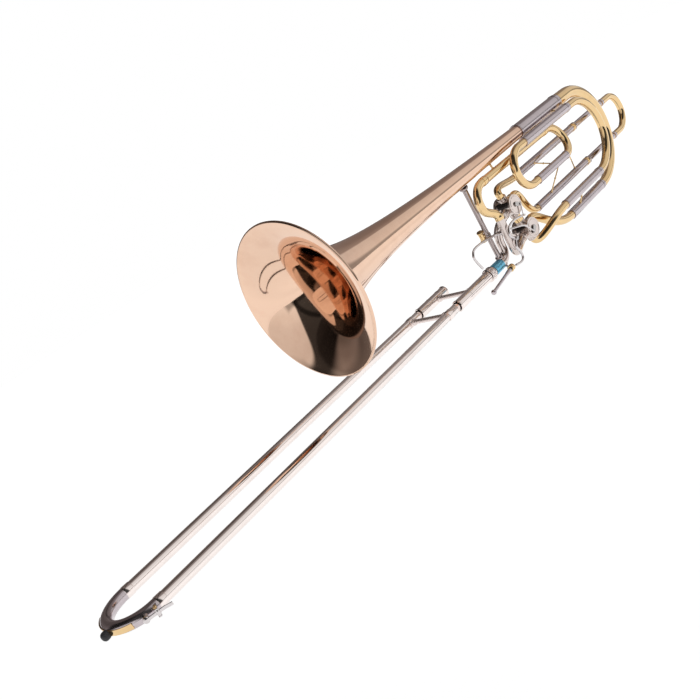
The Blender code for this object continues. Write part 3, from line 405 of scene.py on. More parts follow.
class Shading:
    """Adds nodes to a tree. Each value given to an input is a constant or a socket to link."""

    def __init__(self, owner):
        owner.use_nodes = True
        self.nodes = owner.node_tree.nodes
        self.links = owner.node_tree.links

    def set(self, node, values):
        for name, value in values.items():
            if isinstance(value, bpy.types.NodeSocket):
                self.links.new(value, node.inputs[name])
            else:
                node.inputs[name].default_value = value

    def add(self, kind, values, **settings):
        """Add a node and give its first output that is in use."""
        node = self.nodes.new("ShaderNode" + kind)
        for name, value in settings.items():
            setattr(node, name, value)
        self.set(node, values)
        return next(output for output in node.outputs if output.enabled)

    def place(self, kind):
        return self.nodes.new("ShaderNodeTexCoord").outputs[kind]

    def noise(self, place, scale, detail, roughness):
        values = {"Vector": place, "Scale": scale, "Detail": detail, "Roughness": roughness}
        return self.add("TexNoise", values)

    def bump(self, height, strength, distance, **values):
        values |= {"Height": height, "Strength": strength, "Distance": distance}
        return self.add("Bump", values)

    def ranged(self, value, start, end, low, high, **settings):
        values = {"Value": value, "From Min": start, "From Max": end, "To Min": low, "To Max": high}
        return self.add("MapRange", values, **settings)

    def mixed(self, factor, first, second, **settings):
        values = {"Factor": factor, "A": first, "B": second}
        return self.add("Mix", values, data_type="RGBA", **settings)

    def maths(self, operation, *values):
        return self.add("Math", dict(enumerate(values)), operation=operation)

    def facing(self, way, direction):
        """How far a ray points along a direction, from -1 to 1."""
        return self.add("VectorMath", {0: way, 1: direction}, operation="DOT_PRODUCT")

    def blend(self, value, start, end, low, high):
        """A smooth step from low at start to high at end."""
        return self.ranged(value, start, end, low, high, interpolation_type="SMOOTHSTEP")

    def any_ray(self, *kinds):
        """One for a ray of any of these kinds, else zero."""
        rays = self.nodes.new("ShaderNodeLightPath").outputs
        found = rays[kinds[0]]
        for kind in kinds[1:]:
            found = self.maths("MAXIMUM", found, rays[kind])
        return found


def metal(name, colour, shade, roughness, spread, coat=0.0, grain=(1, 1, 1)):
    """A polished metal with faint tarnish, smudges and fine polishing lines.

    colour is the clean metal, shade its tarnish. Smudges add up to spread to the roughness.
    grain gives how polishing lines run along x, y and z.
    """
    material = bpy.data.materials.new(name)
    tree = Shading(material)
    place = tree.place("Object")
    clouds = tree.noise(place, 9.0, 5.0, 0.6)
    specks = tree.noise(place, 45.0, 4.0, 0.6)
    tarnish = tree.ranged(tree.maths("MULTIPLY", clouds, specks), 0.22, 0.42, 0.0, 0.3)
    smudge = tree.noise(place, 28.0, 6.0, 0.65)
    lines = tree.noise(tree.add("Mapping", {"Vector": place, "Scale": grain}), 900.0, 2.0, 0.5)
    dents = tree.noise(place, 14.0, 2.0, 0.5)
    values = {
        "Metallic": 1.0,
        "Coat Weight": coat,
        "Coat Roughness": 0.04,
        "Coat IOR": 1.5,
        "Base Color": tree.mixed(tarnish, (*colour, 1), (*shade, 1)),
        "Roughness": tree.ranged(smudge, 0.35, 0.75, roughness, roughness + spread),
        "Normal": tree.bump(dents, 0.1, 0.0006, Normal=tree.bump(lines, 0.03, 0.00003)),
    }
    tree.set(tree.nodes["Principled BSDF"], values)
    return material


def soft_material(name, colour, shade, roughness, scale, depth, metallic=0.0):
    """A rubber, film or cork: mottled colour and a fine bump."""
    material = bpy.data.materials.new(name)
    tree = Shading(material)
    grain = tree.noise(tree.place("Object"), scale, 6.0, 0.65)
    values = {
        "Metallic": metallic,
        "Base Color": tree.mixed(grain, (*colour, 1), (*shade, 1)),
        "Roughness": tree.ranged(grain, 0.0, 1.0, roughness - 0.1, roughness + 0.15),
        "Normal": tree.bump(grain, 0.5, depth),
    }
    tree.set(tree.nodes["Principled BSDF"], values)
    return material


# The materials
rose_brass = metal(
    "bell_lacquer", (0.81, 0.56, 0.415), (0.64, 0.38, 0.26),
    roughness=0.05, coat=0.3, grain=(0.02, 1, 1), spread=0.048,
)
yellow_brass = metal(
    "gold_lacquer", (0.80, 0.57, 0.295), (0.58, 0.36, 0.14),
    roughness=0.06, coat=0.3, spread=0.06,
)
nickel = metal(
    "sleeve_plate", (0.56, 0.50, 0.52), (0.38, 0.33, 0.345),
    roughness=0.16, grain=(0.05, 1, 1), spread=0.08,
)
chrome = metal(
    "slide_plate", (0.90, 0.815, 0.78), (0.70, 0.60, 0.56),
    roughness=0.07, grain=(0.03, 1, 1), spread=0.06,
)
valve_plate = metal(
    "valve_plate", (0.68, 0.60, 0.565), (0.50, 0.41, 0.37),
    roughness=0.09, spread=0.06,
)
# The grip brace's plate colour is darkened below its own tone to stand in for the dark surroundings
# it mirrors: plate colour plus a painted dark reflection.
grip_plate_with_painted_dark_reflection = metal(
    "grip_plate_with_painted_dark_reflection", (0.42, 0.36, 0.35), (0.30, 0.25, 0.24),
    roughness=0.08, grain=(1, 1, 0.1), spread=0.048,
)
brace_plate = metal(
    "brace_plate", (0.88, 0.78, 0.75), (0.66, 0.57, 0.54),
    roughness=0.5, grain=(1, 0.1, 1), spread=0.06,
)
bright = metal(
    "lever_plate", (0.68, 0.64, 0.64), (0.50, 0.46, 0.46),
    roughness=0.10, spread=0.06,
)
steel = metal(
    "machined_steel", (0.50, 0.48, 0.47), (0.36, 0.34, 0.33),
    roughness=0.22, grain=(1, 0.1, 1), spread=0.1,
)
blue_film = soft_material(
    "band_film", (0.10, 0.40, 0.62), (0.22, 0.60, 0.80),
    roughness=0.25, scale=120, depth=0.00003, metallic=0.75,
)
rubber = soft_material(
    "bumper_rubber", (0.012, 0.012, 0.014), (0.03, 0.03, 0.032),
    roughness=0.55, scale=300, depth=0.00005,
)
cork = soft_material(
    "key_cork_grain", (0.46, 0.30, 0.16), (0.28, 0.16, 0.08),
    roughness=0.85, scale=420, depth=0.0002,
)


def bell_radius(x):
    depth = x - BELL_RIM_X
    return BELL_RIM_R * (BELL_FLARE_SHIFT / (BELL_FLARE_SHIFT + depth)) ** BELL_FLARE_POWER


def make_bell():
    outside, inside = [], []
    steps = 130
    length = BELL_END_X - BELL_RIM_X
    for step in range(steps + 1):
        x = BELL_RIM_X + length * (step / steps) ** 2.4
        radius = bell_radius(x)
        slope = BELL_FLARE_POWER * radius / (BELL_FLARE_SHIFT + x - BELL_RIM_X)
        thick = BELL_WALL / math.sqrt(1 + slope * slope)
        outside.append((x, radius))
        inside.append((x - slope * thick, radius - thick))
    axis = at(0, BELL_Y, BELL_Z)
    shell = turned(outside + inside[::-1], axis, X, BELL_SIDES)
    piece("bell_shell", rose_brass, "root", ["bell", "bell_stem"], shell)
    outline = []
    for turn in range(18):
        angle = math.radians(20 * turn)
        x = BELL_RIM_X + RIM_BEAD_R * (0.6 + math.cos(angle))
        outline.append((x, BELL_RIM_R + RIM_BEAD_R * (math.sin(angle) - 0.2)))
    piece("bell_rim_roll", rose_brass, "root", [], turned(outline, axis, X, BELL_SIDES))


def sleeve(name, node, axis, bore, wall=SLEEVE_WALL, bead=0.7):
    """A drawn sleeve with a rolled bead at each end and a smaller one behind it.

    Gives the x where it starts and ends.
    """
    start, end = span(node)
    outer = bore + wall
    low_bead = outer + bead * 0.35
    half = [
        (start, bore), (start, outer), *bulge(start, start + 3, outer, outer + bead),
        *bulge(start + 3.2, start + 4.4, outer, low_bead, 4),
    ]
    shape = turned(half + mirrored(half, start + end), axis, X, 48)
    piece(name, nickel, "root", [node], shape)
    return start, end


def plain_tube(name, material, node, path, radius):
    piece(name, material, "root", [node], tube(path, radius, radius - TUBE_WALL))


def ferrule(start, end, bore, outer, origin, axis=X):
    """A soldered ferrule: a short ring with rounded ends."""
    half = [(start, bore), (start, outer - 0.3), (start + 0.4, outer)]
    return turned(half + mirrored(half, start + end), origin, axis, 44)


def tuning_slide(name, node, crook_x, upper, lower, steps=72):
    """A gold U bend, its nickel ferrules and its two nickel legs.

    upper and lower give each leg's axis and radius and the x of its free end and its shoulder.
    """
    axis, radius, _, shoulder = upper
    low_axis, low_radius, _, low_shoulder = lower
    centre = at(crook_x, axis.y, (axis.z + low_axis.z) / 2)
    bend = arc(centre, (axis.z - low_axis.z) / 2, 90, -90, steps)
    path = join([(axis + X * shoulder, X)], bend, [(low_axis + X * low_shoulder, -X)])
    outer = (radius + TUBE_WALL, low_radius + TUBE_WALL)
    inner = (radius - TUBE_WALL, low_radius - TUBE_WALL)
    piece(name + "_crook", yellow_brass, node, [node], tube(path, outer, inner))
    rings, legs = [], []
    for axis, radius, start, shoulder in (upper, lower):
        rings.append(ferrule(shoulder + GAP, shoulder + 7, radius + 0.5, radius + 1.7, axis))
        leg_path = line(axis + X * start, axis + X * (shoulder + 1))
        legs.append(tube(leg_path, radius, radius - TUBE_WALL))
    piece(name + "_ferrules", nickel, node, [], *rings)
    piece(name + "_legs", nickel, node, [], *legs)


def make_main_slide():
    leg_r = bell_radius(span("upper_tuning_sleeve")[0])
    upper = at(0, BELL_Y, BELL_Z)
    lower = at(0, BELL_Y, MAIN_LOWER_Z)
    _, end = sleeve("upper_sleeve", "upper_tuning_sleeve", upper, leg_r + CLEARANCE, bead=0.8)
    bore = MAIN_LOWER_R + CLEARANCE
    low_start, low_end = sleeve("lower_sleeve", "lower_tuning_sleeve", lower, bore, 0.8, 0.3)
    tuning_slide(
        "main_slide", "main_tuning_slide", MAIN_CROOK_X,
        (upper, leg_r, BELL_END_X + GAP, end + GAP),
        (lower, MAIN_LOWER_R, low_start + 8, low_end + GAP), 96,
    )


def make_main_lower_tube():
    start, out = port(lower_valve(), 0)
    end = at(span("lower_tuning_sleeve")[0], BELL_Y, MAIN_LOWER_Z)
    path = curve(start, out, end, X, (26, 70), 48)
    shape = tube(path, (STUB_R - TUBE_WALL, MAIN_LOWER_R), (6.7, MAIN_LOWER_R - TUBE_WALL))
    piece("main_lower_branch", yellow_brass, "root", ["main_lower_tube"], shape)


def make_first_wrap():
    leg_r = FIRST_R - CLEARANCE
    high = at(0, FIRST_Y, FIRST_UPPER_Z)
    low = at(0, FIRST_Y, FIRST_LOWER_Z)
    upper = sleeve("wrap_upper_sleeve", "first_wrap_upper_sleeve", high, FIRST_R)
    lower = sleeve("wrap_lower_sleeve", "first_wrap_lower_sleeve", low, FIRST_R)
    tuning_slide(
        "wrap_slide", "first_wrap_slide", FIRST_CROOK_X,
        (high, leg_r, upper[0] + 14, upper[1] + GAP), (low, leg_r, lower[0] + 14, lower[1] + GAP),
    )
    start, out = port(lower_valve(), 3)
    path = curve(start, out, low + X * lower[0], X, (26, 52), 48)
    plain_tube("wrap_curve", yellow_brass, "first_wrap_curve", path, FIRST_R)

    leg_start, leg_stop = span("coil_leg")
    leg_axis = at(0, FIRST_Y, COIL_LEG_Z)
    radius = (FIRST_UPPER_Z - COIL_LEG_Z) / 2
    bend = arc(at(COIL_LEFT_X, FIRST_Y, FIRST_UPPER_Z - radius), radius, 90, 270, 56)
    path = join([(high + X * upper[0], -X)], bend, [(leg_axis + X * leg_start, X)])
    plain_tube("coil_bend", yellow_brass, "coil_left_bend", path, FIRST_R)
    sleeve("coil_leg_sleeve", "coil_leg", leg_axis, FIRST_R - TUBE_WALL, 1.4, 0.6)
    long_end = at(leg_stop, LONG_TUBE_Y, LONG_TUBE_Z)
    long_start = at(LONG_TUBE_START_X, LONG_TUBE_Y, LONG_TUBE_Z)
    top = at(DOWN_TUBE_X, DOWN_TUBE_Y, DOWN_TUBE_TOP_Z)
    bend = arc(long_start - Z * FRONT_BEND_R, FRONT_BEND_R, 90, 180, 24)
    path = join(
        curve(leg_axis + X * leg_stop, X, long_end, -X, (41, 41), 48), line(long_end, long_start),
        bend, curve(bend[-1][0] - Z * 4, -Z, top, -Z, (22, 22), 20),
    )
    plain_tube("coil_tube", yellow_brass, "coil_long_tube", path, FIRST_R)
    rings = [
        ferrule(0, 12, FIRST_R, FIRST_R + 0.8, long_end - X * 4, -X),
        ferrule(0, 12, FIRST_R, FIRST_R + 0.8, long_start + X * 14, -X),
        ferrule(0, 9, FIRST_R, FIRST_R + 0.9, top, Z),
    ]
    piece("coil_ferrules", yellow_brass, "root", [], *rings)
    low_point = at(DOWN_TUBE_X, DOWN_TUBE_Y, DOWN_TUBE_LOW_Z)
    end, out = port(lower_valve(), 2)
    path = join(line(top, low_point), curve(low_point, -Z, end, -out, (34, 30), 40))
    plain_tube("down_tube", valve_plate, "first_wrap_down_tube", path, FIRST_R)


def make_second_wrap():
    leg_r = SECOND_R - CLEARANCE
    high = at(0, SECOND_Y, SECOND_UPPER_Z)
    low = at(0, SECOND_Y, SECOND_LOWER_Z)
    upper = sleeve("long_upper_sleeve", "second_wrap_upper_sleeve", high, SECOND_R)
    lower = sleeve("long_lower_sleeve", "second_wrap_lower_sleeve", low, SECOND_R)
    rings, legs = [], []
    for axis, (start, end) in ((high, upper), (low, lower)):
        rings.append(ferrule(end - 16, end - 5, leg_r + 1, leg_r + 2.1, axis))
        legs.append((axis, leg_r, start + 12, SECOND_CROOK_END_X + GAP))
    piece("long_sleeve_ferrules", yellow_brass, "root", [], *rings)
    tuning_slide("loop_slide", "second_wrap_slide", SECOND_CROOK_X, *legs, 64)
    start, out = port(UPPER_VALVE, 1)
    path = curve(start, out, high + X * upper[0], X, (30, 48), 44)
    plain_tube("strap_tube", yellow_brass, "second_wrap_strap", path, SECOND_R)
    start, out = port(UPPER_VALVE, 0)
    path = curve(start, out, low + X * lower[0], X, (36, 42), 44)
    plain_tube("elbow_tube", yellow_brass, "second_wrap_elbow", path, SECOND_R)


def port(centre, quarter):
    """The end of a casing's port and the direction it looks in."""
    out = leaning(PORT_ANGLE + 90 * quarter, Z)
    return centre + out * STUB_REACH, out


def lower_valve():
    _, down = port(UPPER_VALVE, 3)
    return UPPER_VALVE + down * VALVE_SPACING


def make_valve(name, centre, arm_angle):
    """Casing with ringed stubs, front plate with a turned rim, cap, spindle and stop arm."""
    half = CASING_HALF
    shell = [
        (-half, 0), (-half, CASING_R - 4), (-half + 0.6, CASING_R - 3.4),
        (-half + 0.6, CASING_R - 2.4), (-half, CASING_R - 1.8), (-half, CASING_R + 0.2),
        *bulge(-half + 0.2, -half + 2.4, CASING_R, CASING_R + 0.9),
        *bulge(-half + 3.2, -half + 4.2, CASING_R, CASING_R + 0.35, 4), (half - 4, CASING_R),
        (half - 1, CASING_R - 0.2), (half - 1, 0),
    ]
    shapes = [turned(shell, centre, Y, 72)]
    root = 13
    reach = STUB_REACH - root
    stub = [
        (0, 0), (0, STUB_R - 0.6), (reach - 5.2, STUB_R - 0.6),
        *bulge(reach - 5, reach - 3.6, STUB_R - 0.6, STUB_R, 4),
        *bulge(reach - 3, reach - 0.2, STUB_R - 0.5, STUB_R + 0.3), (reach, STUB_R - 0.6),
        (reach, PORT_BORE_R), (reach - 3, PORT_BORE_R), (reach - 3, 0),
    ]
    for quarter in range(4):
        _, out = port(centre, quarter)
        shapes.append(turned(stub, centre + out * root, out, 44))
    piece(name + "_casing", valve_plate, "root", [name + "_valve_casing"], *shapes)
    inside = CASING_R + GAP
    base = half + GAP
    cap = [
        (base, 0), (base, inside), (base - 6, inside), (base - 6, inside + 1.2),
        *bulge(base - 5.6, base - 4.2, inside + 1.1, inside + 1.5, 4), (base + 0.4, inside + 1.2),
        (base + 1.3, inside + 0.6), (base + 1.7, inside - 1), (base + 1.2, inside - 2.2),
        (base + 1.2, CASING_R - 6), (base + 2.0, CASING_R - 8), (base + 2.5, CASING_R - 12),
        (base + 2.6, 0),
    ]
    shape = turned(cap, centre, Y, 144, inside + 1.0)
    piece(name + "_cap", valve_plate, "root", [name + "_valve_cap"], shape)
    low, _ = box(name + "_rotor")
    front = centre.y - low.y
    hub = [
        (-front, 0), (-front, 1.6), (-front + 0.25, 2.7), (-front + 0.6, 3.1), (-half + 1.5, 3.1),
        (-half + 1.5, 0),
    ]
    out = leaning(arm_angle, Z)
    arm_y = centre - Y * (front - 1.1)
    arm = stop_arm(arm_y, out)
    pin = [(0, 0), (0, 1.3), (0.9, 1.3), (1.15, 0.9), (1.15, 0)]
    shapes = [turned(hub, centre, Y, 36), arm, turned(pin, arm_y + out * STOP_ARM_R, -Y, 20)]
    piece(name + "_spindle", steel, name + "_rotor", [name + "_rotor"], *shapes)


def stop_arm(centre, out):
    """A drop-shaped plate from the spindle to the link's place."""
    across = out.cross(Y)
    ring = []
    for turn in range(36):
        angle = math.radians(90 + 180 * turn / 35)
        ring.append((out * math.cos(angle) + across * math.sin(angle)) * 4.4)
    for turn in range(18):
        angle = math.radians(-90 + 180 * turn / 17)
        ring.append(out * (STOP_ARM_R + 2.9 * math.cos(angle)) + across * 2.9 * math.sin(angle))
    layers = []
    for height, scale in ((-1.05, 0.93), (-0.8, 1), (0.8, 1), (1.05, 0.93)):
        layers.append([centre + point * scale + Y * height for point in ring])
    return rings_to_shape(layers, closed=False)


def make_link_tube():
    start, _ = port(UPPER_VALVE, 3)
    end, _ = port(lower_valve(), 1)
    shape = tube(line(start, end), STUB_R - 0.6, PORT_BORE_R)
    piece("valve_bridge", yellow_brass, "root", ["valve_link_tube"], shape)


def make_receiver():
    end, out = port(UPPER_VALVE, 2)
    knee_r = 17
    knee = arc(X * RECEIVER_END_X + Z * knee_r, knee_r, -90, 0, 20)
    path = join(knee, curve(knee[-1][0] + Z * 12, Z, end, -out, (26, 16), 32))
    piece("neck_tube", valve_plate, "root", ["gooseneck"], tube(path, STUB_R - 1, PORT_BORE_R))
    first, last = span("slide_receiver")
    bore = 7.7
    outline = [
        (first, bore), (first, RECEIVER_R),
        *bulge(first + 8.6, first + 10, RECEIVER_R - 0.1, RECEIVER_R + 0.2, 4),
        (last - 4, RECEIVER_R), *bulge(last - 3.4, last, RECEIVER_R, RECEIVER_R + 1), (last, 6.8),
        (last - 7, 6.8), (last - 7, bore),
    ]
    shape = turned(outline, Vector(), X, 56)
    piece("receiver_sleeve", valve_plate, "root", ["slide_receiver"], shape)
    first, last = span("receiver_band")
    film = RECEIVER_R + GAP
    outline = softened([(first, film), (first, film + 0.6), (last, film + 0.6), (last, film)], 0.2)
    piece("receiver_wrap", blue_film, "root", ["receiver_band"], turned(outline, Vector(), X, 56))
    half = span("lock_nut")[1]
    outline = [
        (-half, bore), (-half, NUT_R - 2), *bulge(-half, -half + 3.4, NUT_R - 2, NUT_R),
        (-half + 4, NUT_R - 1.2), (half - 4, NUT_R - 1.2),
        *bulge(half - 3.4, half, NUT_R - 2, NUT_R), (half, 9.7), (0.7, 9.7), (0.7, bore),
    ]
    nut = turned(outline, Vector(), X, 120, NUT_R - 1.6)
    piece("slide_nut", chrome, "lock_nut", ["lock_nut"], nut)


def make_hand_brace():
    """The round brace of the left hand, with turned collars and shaped feet."""
    stem_r = bell_radius(0.0)
    top = at(0, BELL_Y, BELL_Z)
    bottom = X * (RECEIVER_END_X - 4)
    along = (bottom - top).normalized()
    length = (bottom - top).length
    first = stem_r + 1.2
    last = length - RECEIVER_R - 1.6
    thin = 4.7
    middle = length * 0.665
    outline = [
        (first, 0), (first, thin + 2.8), *bulge(first, first + 4, thin + 2.6, thin + 3.5),
        (first + 5, thin + 1.2), (first + 8, thin), (middle - 5, thin),
        *bulge(middle - 4.8, middle - 1.6, thin, thin + 1.4),
        *bulge(middle - 1.4, middle + 1.4, thin + 0.4, thin + 1.0, 4),
        *bulge(middle + 1.6, middle + 4.8, thin, thin + 1.4), (last - 8, thin),
        (last - 5, thin + 1.0), *bulge(last - 4, last, thin + 1.8, thin + 2.5), (last, 0),
    ]
    # The grip brace's plate material carries a painted dark reflection.
    piece("grip_brace", grip_plate_with_painted_dark_reflection, "root", ["hand_brace"], turned(outline, top, along, 44))
    make_saddle(top + along * (middle - 4), along)
    return top + along * middle


def make_saddle(middle, along):
    """The gold block of the thumb lever, held off the brace by a short neck."""
    aside = Vector((-0.60, 0.65, 0.47))
    aside = (aside - along * aside.dot(along)).normalized()
    centre = middle + aside * 10
    half = [
        (-11, 0), (-11, 4.6), *bulge(-10.8, -7.6, 5.2, 6.2), *bulge(-7.2, -6, 5, 5.4, 4),
        (-5.4, 5),
    ]
    block = turned(half + mirrored(half, 0), centre, along, 36)
    neck = tube(line(middle + aside * 4.5, centre), 3.2, None, 24)
    piece("grip_saddle", yellow_brass, "root", [], block, neck)


def wrap_brace(x, first, second, first_r, second_r):
    """A thin brace between two tubes, with a foot on each and a bead halfway."""
    radius = 1.3
    start = at(x, *first)
    end = at(x, *second)
    out = (end - start).normalized()
    low, high = start + out * (first_r - 0.4), end - out * (second_r - 0.4)
    length = (high - low).length
    foot = radius * 2.1
    half = [
        (0, 0), (0, foot), (0.7, foot), (1.4, radius * 1.35), (2.6, radius),
        (length / 2 - 1.6, radius),
    ]
    bead = bulge(length / 2 - 1.2, length / 2 + 1.2, radius, radius * 1.7)
    return turned(half + bead + mirrored(half, length), low, out, 20)


def make_wrap_braces():
    first_r = FIRST_R + SLEEVE_WALL - CLEARANCE
    second_r = SECOND_R + SLEEVE_WALL - CLEARANCE
    coil_r = FIRST_R + 0.6
    bell_r = bell_radius(206) + CLEARANCE + SLEEVE_WALL
    low_r = MAIN_LOWER_R + CLEARANCE + SLEEVE_WALL
    bell_line = (BELL_Y, BELL_Z)
    second_up = (SECOND_Y, SECOND_UPPER_Z)
    second_low = (SECOND_Y, SECOND_LOWER_Z)
    coil_line = (FIRST_Y, COIL_LEG_Z)
    braces = (
        ("bell_stem_brace", 90, bell_line, bell_radius(90), (LONG_TUBE_Y, LONG_TUBE_Z), FIRST_R),
        ("upper_sleeve_brace", 330, bell_line, bell_r, (FIRST_Y, FIRST_UPPER_Z), first_r),
        ("coil_brace", 246, second_up, second_r, coil_line, coil_r),
        ("lower_coil_brace", 262, coil_line, coil_r, second_low, second_r),
        ("second_wrap_brace", 380, second_up, second_r, second_low, second_r),
        (
            "lower_sleeve_brace", 300, (FIRST_Y, FIRST_LOWER_Z), first_r,
            (BELL_Y, MAIN_LOWER_Z), low_r,
        ),
    )
    for node, x, first, radius, second, second_radius in braces:
        shape = wrap_brace(x, first, second, radius, second_radius)
        piece(node + "_rod", yellow_brass, "root", [node], shape)


def make_levers(brace_middle):
    """Two rods bent from thumb and finger to the links, each on a hub with its pin."""
    rod_r = 2.2
    end_y = LINK_Y - 2.9
    centre = at(46, -25.5, 54)
    y = -23
    paddle = [
        centre + at(-3, 2.5, 0.4), at(22, y, 59.5), at(-4, y, 63.5), at(-34, y, 64.5),
        at(-45, y, 57), at(-45, y, 46), at(-38, y, 29),
    ]
    thumb_end = at(98, end_y, 38)
    arm = [centre + at(3, -3, -0.3), at(66, -31, 50), at(84, -42, 45), thumb_end]
    shapes = [
        lever_hub(centre, 6.5), tube(through(paddle), rod_r, None, 24),
        tube(through(arm), (rod_r, 1.6), None, 24), ball(paddle[-1], rod_r), ball(thumb_end, 1.6),
    ]
    piece("thumb_lever_rods", bright, "thumb_lever", ["thumb_lever"], *shapes)
    y = -54.8
    pivot = at(38, y, 40)
    finger_end = at(106, end_y, 56)
    upper = [
        pivot + at(-2.4, 0, 1.8), at(27.5, y, 49), at(28.5, y, 58), at(38, y, 65), at(56, y, 67),
        at(84, -52, 62), finger_end,
    ]
    lower = [
        pivot + at(-2.2, 0, -2.2), at(30, y, 27), at(35, y, 12), at(33, y, 3), at(24, y, 0.5),
        at(8, y, 3),
    ]
    shapes = [
        lever_hub(pivot, 3.6), tube(through(upper), (rod_r, 1.9), None, 24),
        tube(through(lower), rod_r, None, 24), ball(lower[-1], rod_r), ball(finger_end, 1.9),
    ]
    piece("finger_lever_rods", bright, "finger_lever", ["finger_lever"], *shapes)
    make_link("thumb", thumb_end, lower_valve(), LOWER_ARM_ANGLE)
    make_link("finger", finger_end, UPPER_VALVE, UPPER_ARM_ANGLE)
    make_pins(centre, pivot, brace_middle)


def lever_hub(centre, reach):
    """A lever's hub, which reaches this far each way."""
    bore, radius = 2.3, 3.8
    half = [(-reach, bore), (-reach, radius - 0.4), (0.4 - reach, radius)]
    bead = bulge(-0.8, 0.8, radius, radius + 0.3, 4)
    return turned(half + bead + mirrored(half, 0), centre, Y, 36)


def ball(centre, radius):
    outline = bulge(-radius, radius, 0, radius, 12)[:-1] + [(radius, 0)]
    return turned(outline, centre, X, 20)


def make_link(name, lever_end, valve, arm_angle):
    """A flat bar from the lever's end to the stop arm, with an eye at each and a screw."""
    target = valve + leaning(arm_angle, Z) * STOP_ARM_R
    start = at(lever_end.x, LINK_Y, lever_end.z)
    end = at(target.x, LINK_Y, target.z)
    along = (end - start).normalized()
    shapes = [strip(line(start, end), 2.4, 1.3, along.cross(Y))]
    half = [(-0.7, 0), (-0.7, 1.7), (-0.5, 2)]
    for point in (start, end):
        shapes.append(turned(half + mirrored(half, 0), point, Y, 28))
    screw = [(0.5, 0), (0.5, 1.2), (0.9, 1.1), (1.0, 0.6), (1.0, 0)]
    shapes.append(turned(screw, end, -Y, 24))
    piece(name + "_link_bar", bright, name + "_link", [name + "_link"], *shapes)


def make_pins(thumb, finger, brace_middle):
    low, high = box("finger_lever_pin")
    length = high.y - low.y
    head, pin = 3.1, 2.0
    outline = [
        (0, 0), (0, head), (0.8, head), (1.0, pin), (length - 0.9, pin),
        (length - 0.9, head - 0.2), (length - 0.7, head), (length - 0.2, head - 0.2),
        (length, head - 0.8), (length, 0),
    ]
    shape = turned(outline, at(finger.x, high.y, finger.z), -Y, 32)
    piece("finger_pin", steel, "root", ["finger_lever_pin"], shape)
    start = at(brace_middle.x + 7.1, brace_middle.y, thumb.z)
    knee = at(thumb.x, thumb.y + 11.5, thumb.z)
    end = at(thumb.x, thumb.y - 7.5, thumb.z)
    path = join(curve(start, X, knee, -Y, (5, 5), 14), line(knee, end))
    piece("thumb_pin", steel, "root", ["thumb_lever_pin"], tube(path, pin, None, 28))
    wire = 0.45
    start = thumb + Y * (6.5 + GAP + wire)
    piece("thumb_spring", steel, "root", ["lever_spring"], coil(start, Y, 2.3 + wire, wire, 2, 2.8))


def coil(centre, axis, radius, wire, turns, length):
    """A coiled spring."""
    side, up = ring_frames([(centre, axis)])[0]
    steps = turns * 32
    points = []
    for step in range(steps + 1):
        angle = 2 * math.pi * turns * step / steps
        out = side * math.cos(angle) + up * math.sin(angle)
        points.append(centre + out * radius + axis * (length * step / steps))
    path = []
    for index, point in enumerate(points):
        before = points[max(index - 1, 0)]
        after = points[min(index + 1, len(points) - 1)]
        path.append((point, (after - before).normalized()))
    return tube(path, wire, None, 12)


def make_inner_slide():
    """Two barrels on their stocking tubes: one ends in the tenon, one in the mouthpiece's place."""
    tenon = [(-8, 7.3), (40, 7.3), (40, 6.6)]
    socket = [
        (-33, BARREL_R), *bulge(-32.6, -31.2, BARREL_R - 0.6, BARREL_R, 4),
        *bulge(-31, -28, BARREL_R - 0.2, BARREL_R + 1), (-28, SOCKET_R + 0.9),
        (-29.5, SOCKET_R), (-54, SOCKET_R),
    ]
    low = BARREL_LOW_X
    for name, side, y, end, tip in (
        ("near", "bell_side", 0, -8, tenon),
        ("far", "mouth_side", SPACING, -44, socket),
    ):
        top = end - 12
        path = line(at(span(side + "_inner_tube")[0], y, 0), at(top, y, 0))
        shape = tube(path, INNER_TUBE_R, SLIDE_BORE_R)
        piece(name + "_stocking_tube", chrome, "root", [side + "_inner_tube"], shape)
        outline = [
            (low, BARREL_R - 1.2), (low, BARREL_R),
            *bulge(low, low + 3.2, BARREL_R, BARREL_R + 0.8),
            *bulge(low + 4, low + 5, BARREL_R, BARREL_R + 0.3, 4),
            *bulge(low + 36, low + 37.4, BARREL_R, BARREL_R + 0.3, 4),
            *bulge(end - 5, end - 3.8, BARREL_R, BARREL_R + 0.3, 4),
            *bulge(end - 3.2, end - 0.2, BARREL_R - 0.1, BARREL_R + 0.3), *tip,
            (top, INNER_TUBE_R), (low + 30, INNER_TUBE_R), (low + 30, BARREL_R - 1.2),
        ]
        shape = turned(outline, at(0, y, 0), X, 56)
        piece(name + "_barrel", chrome, "root", [side + "_barrel"], shape)
    shape = slide_brace(INNER_BRACE_X, BARREL_R)
    piece("upper_cross_brace", brace_plate, "root", ["inner_brace"], shape)


def slide_brace(x, tube_r):
    """The round brace between the two legs of the slide, with a flange at each."""
    first = tube_r + 0.1
    thin = BRACE_R
    flange = thin + 2.4
    half = [
        (first, 0), (first, flange), (first + 1.2, flange), (first + 1.8, flange - 0.6),
        (first + 2.6, thin + 0.8), *bulge(first + 4.4, first + 6, thin + 0.2, thin + 0.7, 4),
        (first + 6.6, thin),
    ]
    return turned(half + mirrored(half, SPACING), at(x, 0, 0), Y, 44)


